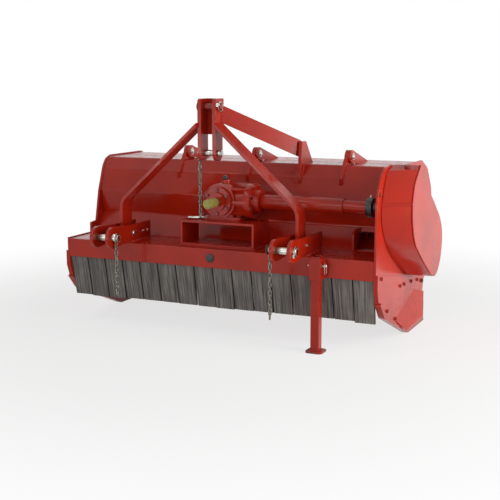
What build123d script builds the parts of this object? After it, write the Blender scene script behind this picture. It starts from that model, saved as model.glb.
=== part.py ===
from build123d import *
import math
import os

# Three-point-hitch tractor mulcher: a folded hood over a hammer rotor, driven by belts at the right end.
# Millimetres. X runs along the rotor, +X to the belt side. -Y faces the tractor. Z is up from the ground.
# The origin is on the ground, under the middle of the machine's box.

# Rotor housing between the two side plates
HOUSING_X = -39.5
HOUSING_W = 1437.0
PLATE_T = 10.0
PLATE_LIP = 4.0
PLATE_CORNER_R = 50.0
SHEET_T = 6.0
LEFT_X = HOUSING_X - HOUSING_W / 2
RIGHT_X = HOUSING_X + HOUSING_W / 2
INNER_LEFT_X = LEFT_X + PLATE_T
INNER_RIGHT_X = RIGHT_X - PLATE_T
INNER_W = HOUSING_W - 2 * PLATE_T

# Front box beam that carries the headstock, the flaps and the stand
BEAM_FRONT_Y = -337.0
BEAM_DEPTH = 210.0
BEAM_BOTTOM_Z = 302.0
BEAM_H = 80.0
BEAM_WALL = 8.0
BEAM_TOP_Z = BEAM_BOTTOM_Z + BEAM_H
BEAM_REAR_Y = BEAM_FRONT_Y + BEAM_DEPTH
BEAM_MID_Y = BEAM_FRONT_Y + BEAM_DEPTH / 2
BEAM_MID_Z = BEAM_BOTTOM_Z + BEAM_H / 2

# Hood: one folded sheet. Columns of its bends: behind the beam's rear edge, above the beam's top.
HOOD_CAVE = (77.0, 88.0)
HOOD_LOW_BEND = (55.0, 188.0)
HOOD_HIGH_BEND = (86.0, 288.0)
HOOD_NOSE = (123.0, 340.0)
HOOD_TOP_L = 122.0
HOOD_BEND_R = 14.0
SERVICE_W = 138.0
SERVICE_H = 71.0
SERVICE_GAP = 8.0
HOOD_NOSE_Y = BEAM_REAR_Y + HOOD_NOSE[0]
HOOD_REAR_Y = HOOD_NOSE_Y + HOOD_TOP_L
HOOD_TOP_Z = BEAM_TOP_Z + HOOD_NOSE[1]

# Three-point headstock, Category 2
HITCH_X = -75.0
LOWER_SPAN = 825.0
LOWER_Y = BEAM_FRONT_Y - 118.0
LOWER_Z = BEAM_TOP_Z + 38.0
LOWER_PIN_D = 28.0
LOWER_PIN_OUT = 26.0
LOWER_HEAD_OUT = 12.0
LOWER_GAP = 60.0
CLEVIS_T = 15.0
CLEVIS_EYE_R = 45.0
CLEVIS_H = 73.0
CLEVIS_BACK = 15.0
TOP_PIN_D = 25.5
TOP_PIN_OUT = 14.0
TOP_Z = BEAM_TOP_Z + 588.0
MAST_LOW_Z = TOP_Z - 192.0
MAST_Y = BEAM_REAR_Y - 140.0
MAST_GAP = 52.0
MAST_T = 16.0
MAST_DEPTH = 66.0
MAST_CORNER_R = 16.0
MAST_WEB_T = 12.0
MAST_WEB_H = 150.0
PIN_CLEAR = 0.3
FRAME_BAR_T = 14.0
FRAME_BAR_DEPTH = 80.0
FRAME_BEND_R = 60.0
FRAME_Y = MAST_Y - 10.0
FRAME_KNEE_Z = BEAM_TOP_Z + 174.0
FRAME_HEAD_DROP = 70.0
BRACE_W = 68.0
BRACE_T = 12.0
BRACE_DROP = 22.0
BRACE_SETBACK = 14.0

# Hinge ears on the hood, with the pins that the rear bonnet swings on
EAR_T = 15.0
EAR_R = 28.0
EAR_Y = HOOD_NOSE_Y + 44.0
EAR_Z = HOOD_TOP_Z + 34.0
EAR_PIN_D = 20.0
EAR_PIN_CLEAR = 0.05
EAR_FOOT_L = 52.0
EAR_RIB_H = 30.0
EAR_X = (-344.0, -3.0, 428.0)
BRACE_FOOT = (HITCH_X + 308.0, EAR_Y - 54.0, EAR_Z + 29.0)
STRAP_T = 12.0
STRAP_GAP = 1.0
STRAP_FOOT = 132.0

# Gearbox on its open box stool
STOOL_W = 345.0
STOOL_DEPTH = 155.0
STOOL_H = 108.0
STOOL_WALL = 10.0
STOOL_BACK = 6.0
GEAR_X = -55.0
GEAR_W = 150.0
GEAR_FRONT_Y = BEAM_REAR_Y - 104.0
GEAR_DEPTH = 136.0
GEAR_FOOT_T = 14.0
GEAR_FOOT_OUT = 22.0
GEAR_R = 74.0
GEAR_AXIS_H = 80.0
FLANGE_R = 62.0
FLANGE_T = 16.0
NOSE_R = 40.0
NOSE_T = 10.0
BARREL_R = 58.0
OUTPUT_R = 76.0
OUTPUT_T = 14.0
OUTPUT_RIB_T = 12.0
OUTPUT_RIBS = 8
FILLER_R = 22.0
FILLER_H = 14.0
PTO_D = 34.9
PTO_OUT = 82.0
PTO_SEAT = 30.0
PTO_CAP_WALL = 2.5
PTO_CAP_LEN = 70.0
RUN_CLEAR = 0.05
CROSS_R = 32.0
CROSS_SMALL_R = 25.0
CROSS_SMALL_L = 100.0
CROSS_HUB_R = 48.0
CROSS_HUB_L = 96.0
CROSS_STUB_R = 18.0
COLLAR_R = 40.0
COLLAR_L = 26.0
COLLAR_GAP = 58.0

# Rotor with swinging hammers
ROTOR_Y = BEAM_REAR_Y + 277.0
ROTOR_Z = BEAM_TOP_Z - 57.0
DRUM_R = 84.0
SHAFT_R = 30.0
DRUM_END_GAP = 14.0
HAMMER_TIP_R = 225.0
HAMMER_W = 56.0
HAMMER_T = 34.0
HAMMER_NECK_T = 22.0
HAMMER_HEAD_L = 62.0
HAMMER_COUNT = 18
HAMMER_STARTS = 3
HAMMER_PIN_AT = 122.0
HAMMER_PIN_R = 11.0
HAMMER_EYE_R = 20.0
LUG_T = 10.0
LUG_EYE_R = 24.0
LUG_CLEAR = 0.5
BEARING_R = 78.0
BEARING_FLANGE_T = 12.0
BEARING_HUB_R = 55.0
BEARING_OUT = 34.0
BEARING_FLOOR = 8.0

# Rubber flaps under the beam
FLAP_COUNT = 16
FLAP_GAP = 3.0
FLAP_T = 10.0
FLAP_L = 184.0
FLAP_LEAN = 12.0
FLAP_SETBACK = 8.0
RAIL_T = 8.0
RAIL_L = 52.0

# Belt housing on the right side plate
BELT_W = 113.0
COVER_T = 5.0
BELT_CORNER_R = 26.0

# Skids bolted outside the side plates, each with a runner strip along its lower edge
SKID_T = 8.0
SKID_H = 327.0
SKID_REAR_H = 201.0
FLARE_LEAN = 3.0
SOLE_T = 10.0
SOLE_OUT = 16.0
SOLE_BEND_R = 60.0

# Rear bonnet
BONNET_GAP = 6.0
BONNET_SIDE_GAP = 6.0
BONNET_SHOULDER_Y = HOOD_REAR_Y + 182.0
BONNET_WAIST = (HOOD_REAR_Y + 322.0, HOOD_TOP_Z - 102.0)
BONNET_HIP = (HOOD_REAR_Y + 372.0, HOOD_TOP_Z - 252.0)
BONNET_LOW_Z = HOOD_TOP_Z - 460.0
BONNET_BEND_R = 30.0

# Parking stand
STAND_X = HITCH_X + LOWER_SPAN / 2 + 103.5
LEG_SIDE = 36.0
LEG_WALL = 4.0
LEG_TOP_Z = BEAM_TOP_Z + 10.0
SLEEVE_WALL = 6.0
SLEEVE_CLEAR = 0.4
SLEEVE_LOW_Z = BEAM_BOTTOM_Z - 6.0
SLEEVE_TOP_Z = BEAM_TOP_Z + 4.0
FOOT_SIDE = 74.0
FOOT_CORNER_R = 18.0
FOOT_T = 8.0

# Safety chains that hold the linch pins
LINKS_MAST = 14
LINKS_LEFT = 12
LINKS_RIGHT = 14
CHAIN_WIRE = 5.0
CHAIN_PITCH = 20.0
CHAIN_WIDTH = 16.0
CHAIN_CLEAR = 1.6

STOOL_TOP_Z = BEAM_TOP_Z + STOOL_H
AXIS_Z = STOOL_TOP_Z + GEAR_AXIS_H
CROSS_Y = GEAR_FRONT_Y + GEAR_DEPTH / 2
MAST_TOP_Z = TOP_Z + MAST_DEPTH / 2
SLEEVE_SIDE = LEG_SIDE + 2 * (SLEEVE_WALL + SLEEVE_CLEAR)
STAND_Y = BEAM_FRONT_Y - SLEEVE_SIDE / 2
HITCH_SIDES = {"left": -1, "right": 1}


def lower_x(side):
    """Middle of a lower hitch point, side -1 on the left or 1 on the right."""
    return HITCH_X + side * LOWER_SPAN / 2


def from_beam(*table):
    """Points (Y, Z) from columns: behind the beam's rear edge, above the beam's top."""
    return [(BEAM_REAR_Y + back, BEAM_TOP_Z + up) for back, up in table]


# Front beam, a hollow box closed at its ends by the side plates
with BuildPart() as front_beam:
    with BuildSketch(Plane.YZ.offset(INNER_LEFT_X)):
        with Locations((BEAM_MID_Y, BEAM_MID_Z)):
            Rectangle(BEAM_DEPTH, BEAM_H)
            Rectangle(BEAM_DEPTH - 2 * BEAM_WALL, BEAM_H - 2 * BEAM_WALL, mode=Mode.SUBTRACT)
    extrude(amount=INNER_W)

# Hood, folded from one sheet, with a service opening low at its belt end
HOOD_PATH = from_beam((0.0, 0.0), HOOD_CAVE, HOOD_LOW_BEND, HOOD_HIGH_BEND, HOOD_NOSE)
HOOD_PATH.append((HOOD_REAR_Y, HOOD_TOP_Z))
SERVICE_X = INNER_RIGHT_X - SERVICE_GAP - SERVICE_W / 2
with BuildPart() as hood:
    with BuildSketch(Plane.YZ.offset(INNER_LEFT_X)):
        with BuildLine():
            FilletPolyline(*HOOD_PATH, radius=HOOD_BEND_R)
            offset(amount=SHEET_T, side=Side.RIGHT, kind=Kind.INTERSECTION)
        make_face()
    extrude(amount=INNER_W)
    with Locations((SERVICE_X, BEAM_REAR_Y, BEAM_TOP_Z + SERVICE_H / 2)):
        Box(SERVICE_W, BEAM_DEPTH, SERVICE_H, mode=Mode.SUBTRACT)

# Gusset that stands on the beam's rear edge beside the service opening
GUSSET_FRONT_Y = BEAM_REAR_Y - 2 * PLATE_T
GUSSET_TOP_Z = BEAM_TOP_Z + HOOD_CAVE[1]
with BuildPart() as beam_gusset:
    with BuildSketch(Plane.YZ.offset(SERVICE_X - SERVICE_W / 2 - PLATE_T)):
        with BuildLine():
            Polyline(
                (GUSSET_FRONT_Y, BEAM_TOP_Z),
                (GUSSET_FRONT_Y, GUSSET_TOP_Z - 2 * PLATE_T),
                (BEAM_REAR_Y, GUSSET_TOP_Z),
                (HOOD_PATH[1][0], GUSSET_TOP_Z),
                (BEAM_REAR_Y, BEAM_TOP_Z),
                close=True,
            )
        make_face()
    extrude(amount=PLATE_T)
    add(hood.part, mode=Mode.SUBTRACT)

# Rubber flaps and the rail they are bolted to, all at one lean
LEAN = math.radians(FLAP_LEAN)
FLAP_Y = BEAM_FRONT_Y + FLAP_SETBACK
FLAP_DEEP = FLAP_T / math.cos(LEAN)
RAIL_DEEP = RAIL_T / math.cos(LEAN)


def leaning_strip(front_y, deep, length):
    """Corners of a strip that hangs from the beam's underside and leans back."""
    shift = (length * math.sin(LEAN), -length * math.cos(LEAN))
    top = [(front_y, BEAM_BOTTOM_Z), (front_y + deep, BEAM_BOTTOM_Z)]
    return top + [(y + shift[0], z + shift[1]) for y, z in reversed(top)]


FLAP_PITCH = INNER_W / FLAP_COUNT
with BuildPart() as front_flaps:
    for i in range(FLAP_COUNT):
        with BuildSketch(Plane.YZ.offset(INNER_LEFT_X + i * FLAP_PITCH + FLAP_GAP / 2)):
            with BuildLine():
                Polyline(*leaning_strip(FLAP_Y, FLAP_DEEP, FLAP_L), close=True)
            make_face()
        extrude(amount=FLAP_PITCH - FLAP_GAP)

with BuildPart() as flap_rail:
    with BuildSketch(Plane.YZ.offset(INNER_LEFT_X)):
        with BuildLine():
            Polyline(*leaning_strip(FLAP_Y + FLAP_DEEP, RAIL_DEEP, RAIL_L), close=True)
        make_face()
    extrude(amount=INNER_W)

# Belt housing, a tapering prism. Columns (Y, Z) from an axle: on the side plate, on the outer face.
UPPER_AXLE = (CROSS_Y, AXIS_Z)
LOWER_AXLE = (ROTOR_Y, ROTOR_Z)
BELT_TABLE = [
    (UPPER_AXLE, (-66.0, 163.0), (-41.0, 192.0)),
    (UPPER_AXLE, (-92.0, 76.0), (-101.0, 90.0)),
    (UPPER_AXLE, (-94.0, 32.0), (-99.0, 22.0)),
    (UPPER_AXLE, (-71.0, -118.0), (-37.0, -80.0)),
    (LOWER_AXLE, (-286.0, 25.0), (-223.0, 58.0)),
    (LOWER_AXLE, (-180.0, -46.0), (-101.0, -34.0)),
    (LOWER_AXLE, (-40.0, -74.0), (-42.0, -73.0)),
    (LOWER_AXLE, (55.0, -25.0), (38.0, -13.0)),
    (LOWER_AXLE, (65.0, 75.0), (35.0, 75.0)),
    (LOWER_AXLE, (25.0, 165.0), (0.0, 145.0)),
    (UPPER_AXLE, (123.0, 110.0), (125.0, 76.0)),
    (UPPER_AXLE, (13.0, 168.0), (3.0, 176.0)),
]


def belt_outline(column):
    """Corners of the belt housing in one column of its table."""
    return [(row[0][0] + row[column][0], row[0][1] + row[column][1]) for row in BELT_TABLE]


COVER_X = RIGHT_X + BELT_W - COVER_T
with BuildPart() as belt_housing:
    for section_x, column in ((RIGHT_X, 1), (COVER_X, 2)):
        with BuildSketch(Plane.YZ.offset(section_x)) as section:
            with BuildLine():
                Polyline(*belt_outline(column), close=True)
            make_face()
            fillet(section.vertices(), BELT_CORNER_R)
    loft(ruled=True)

with BuildPart() as belt_cover:
    with BuildSketch(Plane.YZ.offset(COVER_X)) as section:
        with BuildLine():
            Polyline(*belt_outline(2), close=True)
        make_face()
        fillet(section.vertices(), BELT_CORNER_R)
    extrude(amount=COVER_T)

# Skids. Columns (Y, Z): the runner's path, and the fold below which the panel flares out.
RUNNER = [
    (BEAM_FRONT_Y + 19.0, 206.0),
    (BEAM_FRONT_Y + 75.0, 140.0),
    (ROTOR_Y - 66.0, 0.0),
    (ROTOR_Y + 190.0, 0.0),
]
SKID_FRONT = (BEAM_FRONT_Y, 262.0)
SKID_FOLD = [(ROTOR_Y - 267.0, 110.0), (ROTOR_Y + 7.0, 185.0)]
SKID_REAR_Y = ROTOR_Y + 185.0
PANEL_REAR_Z = 136.0
PANEL_OUT = 2 * SKID_T
FLARE_TILT = math.radians(FLARE_LEAN)
SEAT_EDGE = [(y, z + SOLE_T / 2) for y, z in RUNNER]
SEAT_END = (SKID_REAR_Y, SOLE_T / 2)


def seat_z(y):
    """Height of the seat edge above one place on the runner's slope."""
    (y0, z0), (y1, z1) = SEAT_EDGE[1:3]
    return z0 + (z1 - z0) * (y - y0) / (y1 - y0)


skids = {}
for name, side, face_x in (("left_skid", -1, LEFT_X), ("right_skid", 1, RIGHT_X)):
    fold = [Vector(face_x + side * SKID_T, y, z) for y, z in SKID_FOLD]
    along = (fold[1] - fold[0]).normalized()
    straight_down = Vector(0, along.Z, -along.Y)
    flare_down = straight_down * math.cos(FLARE_TILT) + Vector(side * math.sin(FLARE_TILT), 0, 0)
    flare_plane = Plane(origin=fold[0], x_dir=along, z_dir=flare_down.cross(along) * side)
    with BuildPart() as panel:
        with BuildSketch(Plane.YZ.offset(face_x)):
            with BuildLine():
                Polyline(
                    *SKID_FOLD,
                    (SKID_REAR_Y, PANEL_REAR_Z),
                    SEAT_END,
                    SEAT_EDGE[2],
                    (SKID_FOLD[0][0], seat_z(SKID_FOLD[0][0])),
                    close=True,
                )
            make_face()
        extrude(amount=side * PANEL_OUT)
        split(bisect_by=flare_plane, keep=Keep.BOTTOM)
    with BuildPart() as skid:
        with BuildSketch(Plane.YZ.offset(face_x)):
            with BuildLine():
                Polyline(
                    (BEAM_FRONT_Y, SKID_H),
                    (SKID_REAR_Y, SKID_REAR_H),
                    SEAT_END,
                    *SEAT_EDGE[2::-1],
                    SKID_FRONT,
                    close=True,
                )
            make_face()
        extrude(amount=side * SKID_T)
        with BuildSketch(Plane.YZ.offset(face_x - side * PLATE_T)):
            with BuildLine():
                FilletPolyline(*RUNNER, radius=SOLE_BEND_R)
                offset(amount=SOLE_T, side=Side.LEFT, kind=Kind.INTERSECTION)
            make_face()
        extrude(amount=side * (PLATE_T + SOLE_OUT))
        add(panel.part)
    skids[name] = skid

# Side plates, seated on the runners. Tables from the beam, up the front edge and down the rear edge.
LEFT_EDGE = from_beam(
    (-BEAM_DEPTH, PLATE_LIP),
    (-30.0, PLATE_LIP),
    (-28.0, 48.0),
    (17.0, 52.0),
    (47.0, 188.0),
    (69.0, 246.0),
    (88.0, 298.0),
    (112.0, 331.0),
    (152.0, 347.0),
)
RIGHT_EDGE = from_beam(
    (-BEAM_DEPTH, 0.0),
    (-207.0, 218.0),
    (-191.0, 273.0),
    (-157.0, 326.0),
    (-109.0, 358.0),
    (-38.0, 366.0),
    (67.0, 348.0),
)
REAR_EDGE = from_beam(
    (436.0, 346.0),
    (532.0, 304.0),
    (605.0, 208.0),
    (627.0, 98.0),
    (627.0, -120.0),
    (512.0, -202.0),
)
PLATE_TABLE = {
    "left_side_plate": (LEFT_X, LEFT_EDGE, skids["left_skid"]),
    "right_side_plate": (INNER_RIGHT_X, RIGHT_EDGE, skids["right_skid"]),
}
side_plates = {}
for name, (plate_x, front_edge, skid) in PLATE_TABLE.items():
    with BuildPart() as side_plate:
        with BuildSketch(Plane.YZ.offset(plate_x)) as section:
            with BuildLine():
                Polyline(SEAT_END, *SEAT_EDGE[2::-1], SKID_FRONT, *front_edge, *REAR_EDGE, close=True)
            make_face()
            fillet(section.vertices().filter_by_position(Axis.Y, AXIS_Z, TOP_Z), PLATE_CORNER_R)
            with Locations((ROTOR_Y, ROTOR_Z)):
                Circle(SHAFT_R + RUN_CLEAR, mode=Mode.SUBTRACT)
        extrude(amount=PLATE_T)
        add(skid.part, mode=Mode.SUBTRACT)
    side_plates[name] = side_plate

# Stool under the gearbox, open at the front and at the back
with BuildPart() as gearbox_stool:
    with BuildSketch(Plane.XZ.offset(-(BEAM_REAR_Y - STOOL_BACK))):
        with Locations((HOUSING_X, BEAM_TOP_Z + STOOL_H / 2)):
            Rectangle(STOOL_W, STOOL_H)
            Rectangle(STOOL_W - 2 * STOOL_WALL, STOOL_H - 2 * STOOL_WALL, mode=Mode.SUBTRACT)
    extrude(amount=STOOL_DEPTH)

# Gearbox casting: round case on a foot, input flange to the front, ribbed output barrel to the right
HUB_END_X = GEAR_X + GEAR_W / 2 + CROSS_HUB_L
OUTPUT_X = HUB_END_X - 3 * OUTPUT_T
with BuildPart() as gearbox:
    with BuildSketch(Plane.XY.offset(STOOL_TOP_Z)):
        with Locations((GEAR_X, CROSS_Y)):
            RectangleRounded(GEAR_W + 2 * GEAR_FOOT_OUT, GEAR_DEPTH, GEAR_FOOT_T)
    extrude(amount=GEAR_FOOT_T)
    with BuildSketch(Plane.XY.offset(STOOL_TOP_Z)):
        with Locations((GEAR_X, CROSS_Y)):
            RectangleRounded(GEAR_W - GEAR_FOOT_OUT, GEAR_DEPTH - GEAR_FOOT_OUT, GEAR_FOOT_OUT)
    extrude(amount=GEAR_AXIS_H + GEAR_R / 2)
    with BuildSketch(Plane.XY.offset(AXIS_Z)):
        with Locations((GEAR_X, CROSS_Y)):
            Circle(FILLER_R)
    extrude(amount=GEAR_R + FILLER_H)
    with BuildSketch(Plane.XZ.offset(-GEAR_FRONT_Y)):
        with Locations((GEAR_X, AXIS_Z)):
            Circle(GEAR_R)
    extrude(amount=-GEAR_DEPTH)
    for flange_y, flange_r, flange_t in (
        (GEAR_FRONT_Y, FLANGE_R, FLANGE_T),
        (GEAR_FRONT_Y - FLANGE_T, NOSE_R, NOSE_T),
    ):
        with BuildSketch(Plane.XZ.offset(-flange_y)):
            with Locations((GEAR_X, AXIS_Z)):
                Circle(flange_r)
        extrude(amount=flange_t)
    for step_r, step_end_x in ((BARREL_R, OUTPUT_X), (CROSS_HUB_R, HUB_END_X)):
        with BuildSketch(Plane.YZ.offset(GEAR_X)):
            with Locations((CROSS_Y, AXIS_Z)):
                Circle(step_r)
        extrude(amount=step_end_x - GEAR_X)
    with BuildSketch(Plane.YZ.offset(OUTPUT_X - OUTPUT_T)):
        with Locations((CROSS_Y, AXIS_Z)):
            Circle(OUTPUT_R)
    extrude(amount=2 * OUTPUT_T)
    with BuildSketch(Plane.YZ.offset(GEAR_X)):
        with Locations((CROSS_Y, AXIS_Z)):
            with PolarLocations(0, OUTPUT_RIBS):
                Rectangle(OUTPUT_R, OUTPUT_RIB_T, align=(Align.MIN, Align.CENTER))
    extrude(amount=OUTPUT_X - GEAR_X)
    with BuildSketch(Plane.XZ.offset(-GEAR_FRONT_Y + FLANGE_T + NOSE_T)):
        with Locations((GEAR_X, AXIS_Z)):
            Circle(PTO_D / 2 + RUN_CLEAR)
    extrude(amount=-PTO_SEAT, mode=Mode.SUBTRACT)

NOSE_FRONT_Y = GEAR_FRONT_Y - FLANGE_T - NOSE_T
with BuildPart() as pto_shaft:
    with BuildSketch(Plane.XZ.offset(-NOSE_FRONT_Y - PTO_SEAT)):
        with Locations((GEAR_X, AXIS_Z)):
            Circle(PTO_D / 2)
    extrude(amount=PTO_SEAT + PTO_OUT)

with BuildPart() as pto_cap:
    with BuildSketch(Plane.XZ.offset(-NOSE_FRONT_Y + PTO_OUT - PTO_CAP_LEN)):
        with Locations((GEAR_X, AXIS_Z)):
            Circle(PTO_D / 2 + PTO_CAP_WALL)
    extrude(amount=PTO_CAP_LEN + PTO_CAP_WALL)
    add(pto_shaft.part, mode=Mode.SUBTRACT)

# Cross shaft: a stepped tube from the gearbox hub to the collar, and a bare stub on to the side plate
COLLAR_X = INNER_RIGHT_X - COLLAR_GAP - COLLAR_L
with BuildPart() as cross_tube:
    for tube_r, tube_end_x in ((CROSS_R, COLLAR_X - CROSS_SMALL_L), (CROSS_SMALL_R, COLLAR_X)):
        with BuildSketch(Plane.YZ.offset(HUB_END_X)):
            with Locations((CROSS_Y, AXIS_Z)):
                Circle(tube_r)
        extrude(amount=tube_end_x - HUB_END_X)

with BuildPart() as cross_collar:
    for collar_r, collar_end_x in ((COLLAR_R, COLLAR_X + COLLAR_L), (CROSS_STUB_R, INNER_RIGHT_X)):
        with BuildSketch(Plane.YZ.offset(COLLAR_X)):
            with Locations((CROSS_Y, AXIS_Z)):
                Circle(collar_r)
        extrude(amount=collar_end_x - COLLAR_X)

# Mast: two upright plates joined by a web behind the upper pin, a hitch pin through each end
MAST_OUT_W = MAST_GAP + 2 * MAST_T
with BuildPart() as mast:
    for side in HITCH_SIDES.values():
        with BuildSketch(Plane.YZ.offset(HITCH_X + side * MAST_GAP / 2)) as section:
            with Locations((MAST_Y, (MAST_TOP_Z + MAST_LOW_Z) / 2)):
                Rectangle(MAST_DEPTH, MAST_TOP_Z - MAST_LOW_Z)
            fillet(section.vertices().group_by(Axis.Y)[-1], MAST_CORNER_R)
            with Locations((MAST_Y, MAST_LOW_Z)):
                Circle(MAST_DEPTH / 2)
            with Locations((MAST_Y, TOP_Z), (MAST_Y, MAST_LOW_Z)):
                Circle(TOP_PIN_D / 2 + PIN_CLEAR, mode=Mode.SUBTRACT)
        extrude(amount=side * MAST_T)
    with BuildSketch(Plane.XZ.offset(-(MAST_Y + MAST_DEPTH / 2 + MAST_WEB_T))):
        with Locations((HITCH_X, MAST_TOP_Z - MAST_WEB_H / 2)):
            Rectangle(MAST_OUT_W, MAST_WEB_H)
    extrude(amount=MAST_WEB_T)

mast_pins = {}
for name, pin_z in (("top_hitch_pin", TOP_Z), ("mast_low_pin", MAST_LOW_Z)):
    with BuildPart() as mast_pin:
        with BuildSketch(Plane.YZ.offset(HITCH_X - MAST_OUT_W / 2 - TOP_PIN_OUT)):
            with Locations((MAST_Y, pin_z)):
                Circle(TOP_PIN_D / 2)
        extrude(amount=MAST_OUT_W + 2 * TOP_PIN_OUT)
    mast_pins[name] = mast_pin

# Lower hitch clevises: two long plates each, that stand on the beam and reach forward to the pin
clevises, lower_pins, frame_bars = {}, {}, {}
CLEVIS_OUT_W = LOWER_GAP + 2 * CLEVIS_T
for name, side in HITCH_SIDES.items():
    mid_x = lower_x(side)
    with BuildPart() as clevis:
        for cheek in (-1, 1):
            with BuildSketch(Plane.YZ.offset(mid_x + cheek * LOWER_GAP / 2)):
                with BuildLine():
                    Polyline(
                        (LOWER_Y, LOWER_Z + CLEVIS_EYE_R),
                        (FRAME_Y, BEAM_TOP_Z + CLEVIS_H),
                        (BEAM_REAR_Y - CLEVIS_BACK, BEAM_TOP_Z + CLEVIS_H),
                        (BEAM_REAR_Y - CLEVIS_BACK, BEAM_TOP_Z),
                        (BEAM_FRONT_Y, BEAM_TOP_Z),
                        (LOWER_Y, LOWER_Z - CLEVIS_EYE_R),
                        close=True,
                    )
                make_face()
                with Locations((LOWER_Y, LOWER_Z)):
                    Circle(CLEVIS_EYE_R)
                    Circle(LOWER_PIN_D / 2 + PIN_CLEAR, mode=Mode.SUBTRACT)
            extrude(amount=cheek * CLEVIS_T)
        add(front_beam.part, mode=Mode.SUBTRACT)
    clevises[f"lower_clevis_{name}"] = clevis

    with BuildPart() as lower_pin:
        with BuildSketch(Plane.YZ.offset(mid_x + side * (CLEVIS_OUT_W / 2 + LOWER_HEAD_OUT))):
            with Locations((LOWER_Y, LOWER_Z)):
                Circle(LOWER_PIN_D / 2)
        extrude(amount=-side * (CLEVIS_OUT_W + LOWER_HEAD_OUT + LOWER_PIN_OUT))
    lower_pins[f"lower_pin_{name}"] = lower_pin

    # Bar of the A-frame, from the beam between the clevis plates up to its knee and over to the mast
    with BuildPart() as frame_bar:
        with BuildSketch(Plane.XZ.offset(-FRAME_Y - FRAME_BAR_DEPTH / 2)):
            with BuildLine():
                FilletPolyline(
                    (mid_x - side * FRAME_BAR_T / 2, BEAM_TOP_Z),
                    (mid_x - side * FRAME_BAR_T / 2, FRAME_KNEE_Z),
                    (HITCH_X + side * MAST_GAP / 2, TOP_Z - FRAME_HEAD_DROP),
                    radius=FRAME_BEND_R,
                )
                offset(amount=FRAME_BAR_T, side=Side.RIGHT if side > 0 else Side.LEFT)
            make_face()
        extrude(amount=FRAME_BAR_DEPTH)
        with Locations((HITCH_X, FRAME_Y, TOP_Z)):
            Box(MAST_OUT_W, 2 * FRAME_BAR_DEPTH, TOP_Z, mode=Mode.SUBTRACT)
    frame_bars[f"frame_bar_{name}"] = frame_bar

# Ears on the hood, their hinge pins, and the lug that takes the brace, all on the hood's outer face
HIGH_BEND_Y, HIGH_BEND_Z = HOOD_PATH[3]
EAR_RIB_RUN = EAR_RIB_H * (HOOD_HIGH_BEND[0] - HOOD_LOW_BEND[0]) / (HOOD_HIGH_BEND[1] - HOOD_LOW_BEND[1])
EAR_OUTLINE = [
    (HIGH_BEND_Y - EAR_RIB_RUN, HIGH_BEND_Z - EAR_RIB_H),
    (HIGH_BEND_Y - EAR_T, HIGH_BEND_Z),
    (EAR_Y - EAR_R, EAR_Z),
    (EAR_Y + EAR_R, EAR_Z),
    (EAR_Y + EAR_FOOT_L, HOOD_TOP_Z),
    (EAR_Y + EAR_FOOT_L, HOOD_TOP_Z - SHEET_T / 2),
    (HOOD_NOSE_Y, HOOD_TOP_Z - SHEET_T / 2),
    (HIGH_BEND_Y + SHEET_T / 2, HIGH_BEND_Z),
]
with BuildPart() as hood_ears:
    for ear_x in EAR_X:
        with BuildSketch(Plane.YZ.offset(ear_x)):
            with BuildLine():
                Polyline(*EAR_OUTLINE, close=True)
            make_face()
            with Locations((EAR_Y, EAR_Z)):
                Circle(EAR_R)
                Circle(EAR_PIN_D / 2 + EAR_PIN_CLEAR, mode=Mode.SUBTRACT)
        extrude(amount=EAR_T / 2, both=True)
    add(hood.part, mode=Mode.SUBTRACT)

LUG_OUTLINE = [
    *EAR_OUTLINE[:2],
    (BRACE_FOOT[1] - 2 * BRACE_T, BRACE_FOOT[2] + BRACE_W / 2),
    (BRACE_FOOT[1] + 2 * BRACE_T, BRACE_FOOT[2] + BRACE_W / 2),
    *EAR_OUTLINE[4:],
]
with BuildPart() as brace_lug:
    with BuildSketch(Plane.YZ.offset(BRACE_FOOT[0])):
        with BuildLine():
            Polyline(*LUG_OUTLINE, close=True)
        make_face()
    extrude(amount=EAR_T)
    add(hood.part, mode=Mode.SUBTRACT)

with BuildPart() as mast_brace:
    brace_head = Vector(HITCH_X + MAST_GAP / 2, MAST_Y + BRACE_SETBACK, TOP_Z - BRACE_DROP)
    brace_run = Vector(*BRACE_FOOT) - brace_head
    brace_plane = Plane(origin=brace_head, x_dir=Vector(0, 0, 1).cross(brace_run), z_dir=brace_run)
    with BuildSketch(brace_plane):
        Rectangle(BRACE_T, BRACE_W)
    extrude(amount=brace_run.length + EAR_T)
    with Locations((HITCH_X, MAST_Y, TOP_Z)):
        Box(MAST_OUT_W, 4 * MAST_DEPTH, TOP_Z, mode=Mode.SUBTRACT)
    with Locations((BRACE_FOOT[0] + BRACE_W, *BRACE_FOOT[1:])):
        Box(2 * BRACE_W, 4 * BRACE_W, 4 * BRACE_W, mode=Mode.SUBTRACT)
    add(frame_bars["frame_bar_right"].part, mode=Mode.SUBTRACT)

# Rotor: drum, end shafts and lugs in one welded piece, hammers between the lugs
DRUM_LEFT_X = INNER_LEFT_X + DRUM_END_GAP
DRUM_RIGHT_X = INNER_RIGHT_X - DRUM_END_GAP
HAMMER_PITCH = (DRUM_RIGHT_X - DRUM_LEFT_X) / HAMMER_COUNT


def hammer_plane(i):
    """Plane across the rotor at one hammer, with its x along the hammer's arm."""
    angle = math.radians(360 / HAMMER_STARTS * i + 360 / HAMMER_STARTS / HAMMER_COUNT * i)
    x = DRUM_LEFT_X + (i + 0.5) * HAMMER_PITCH
    return Plane(origin=(x, ROTOR_Y, ROTOR_Z), x_dir=(0, math.cos(angle), math.sin(angle)), z_dir=(1, 0, 0))


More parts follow.
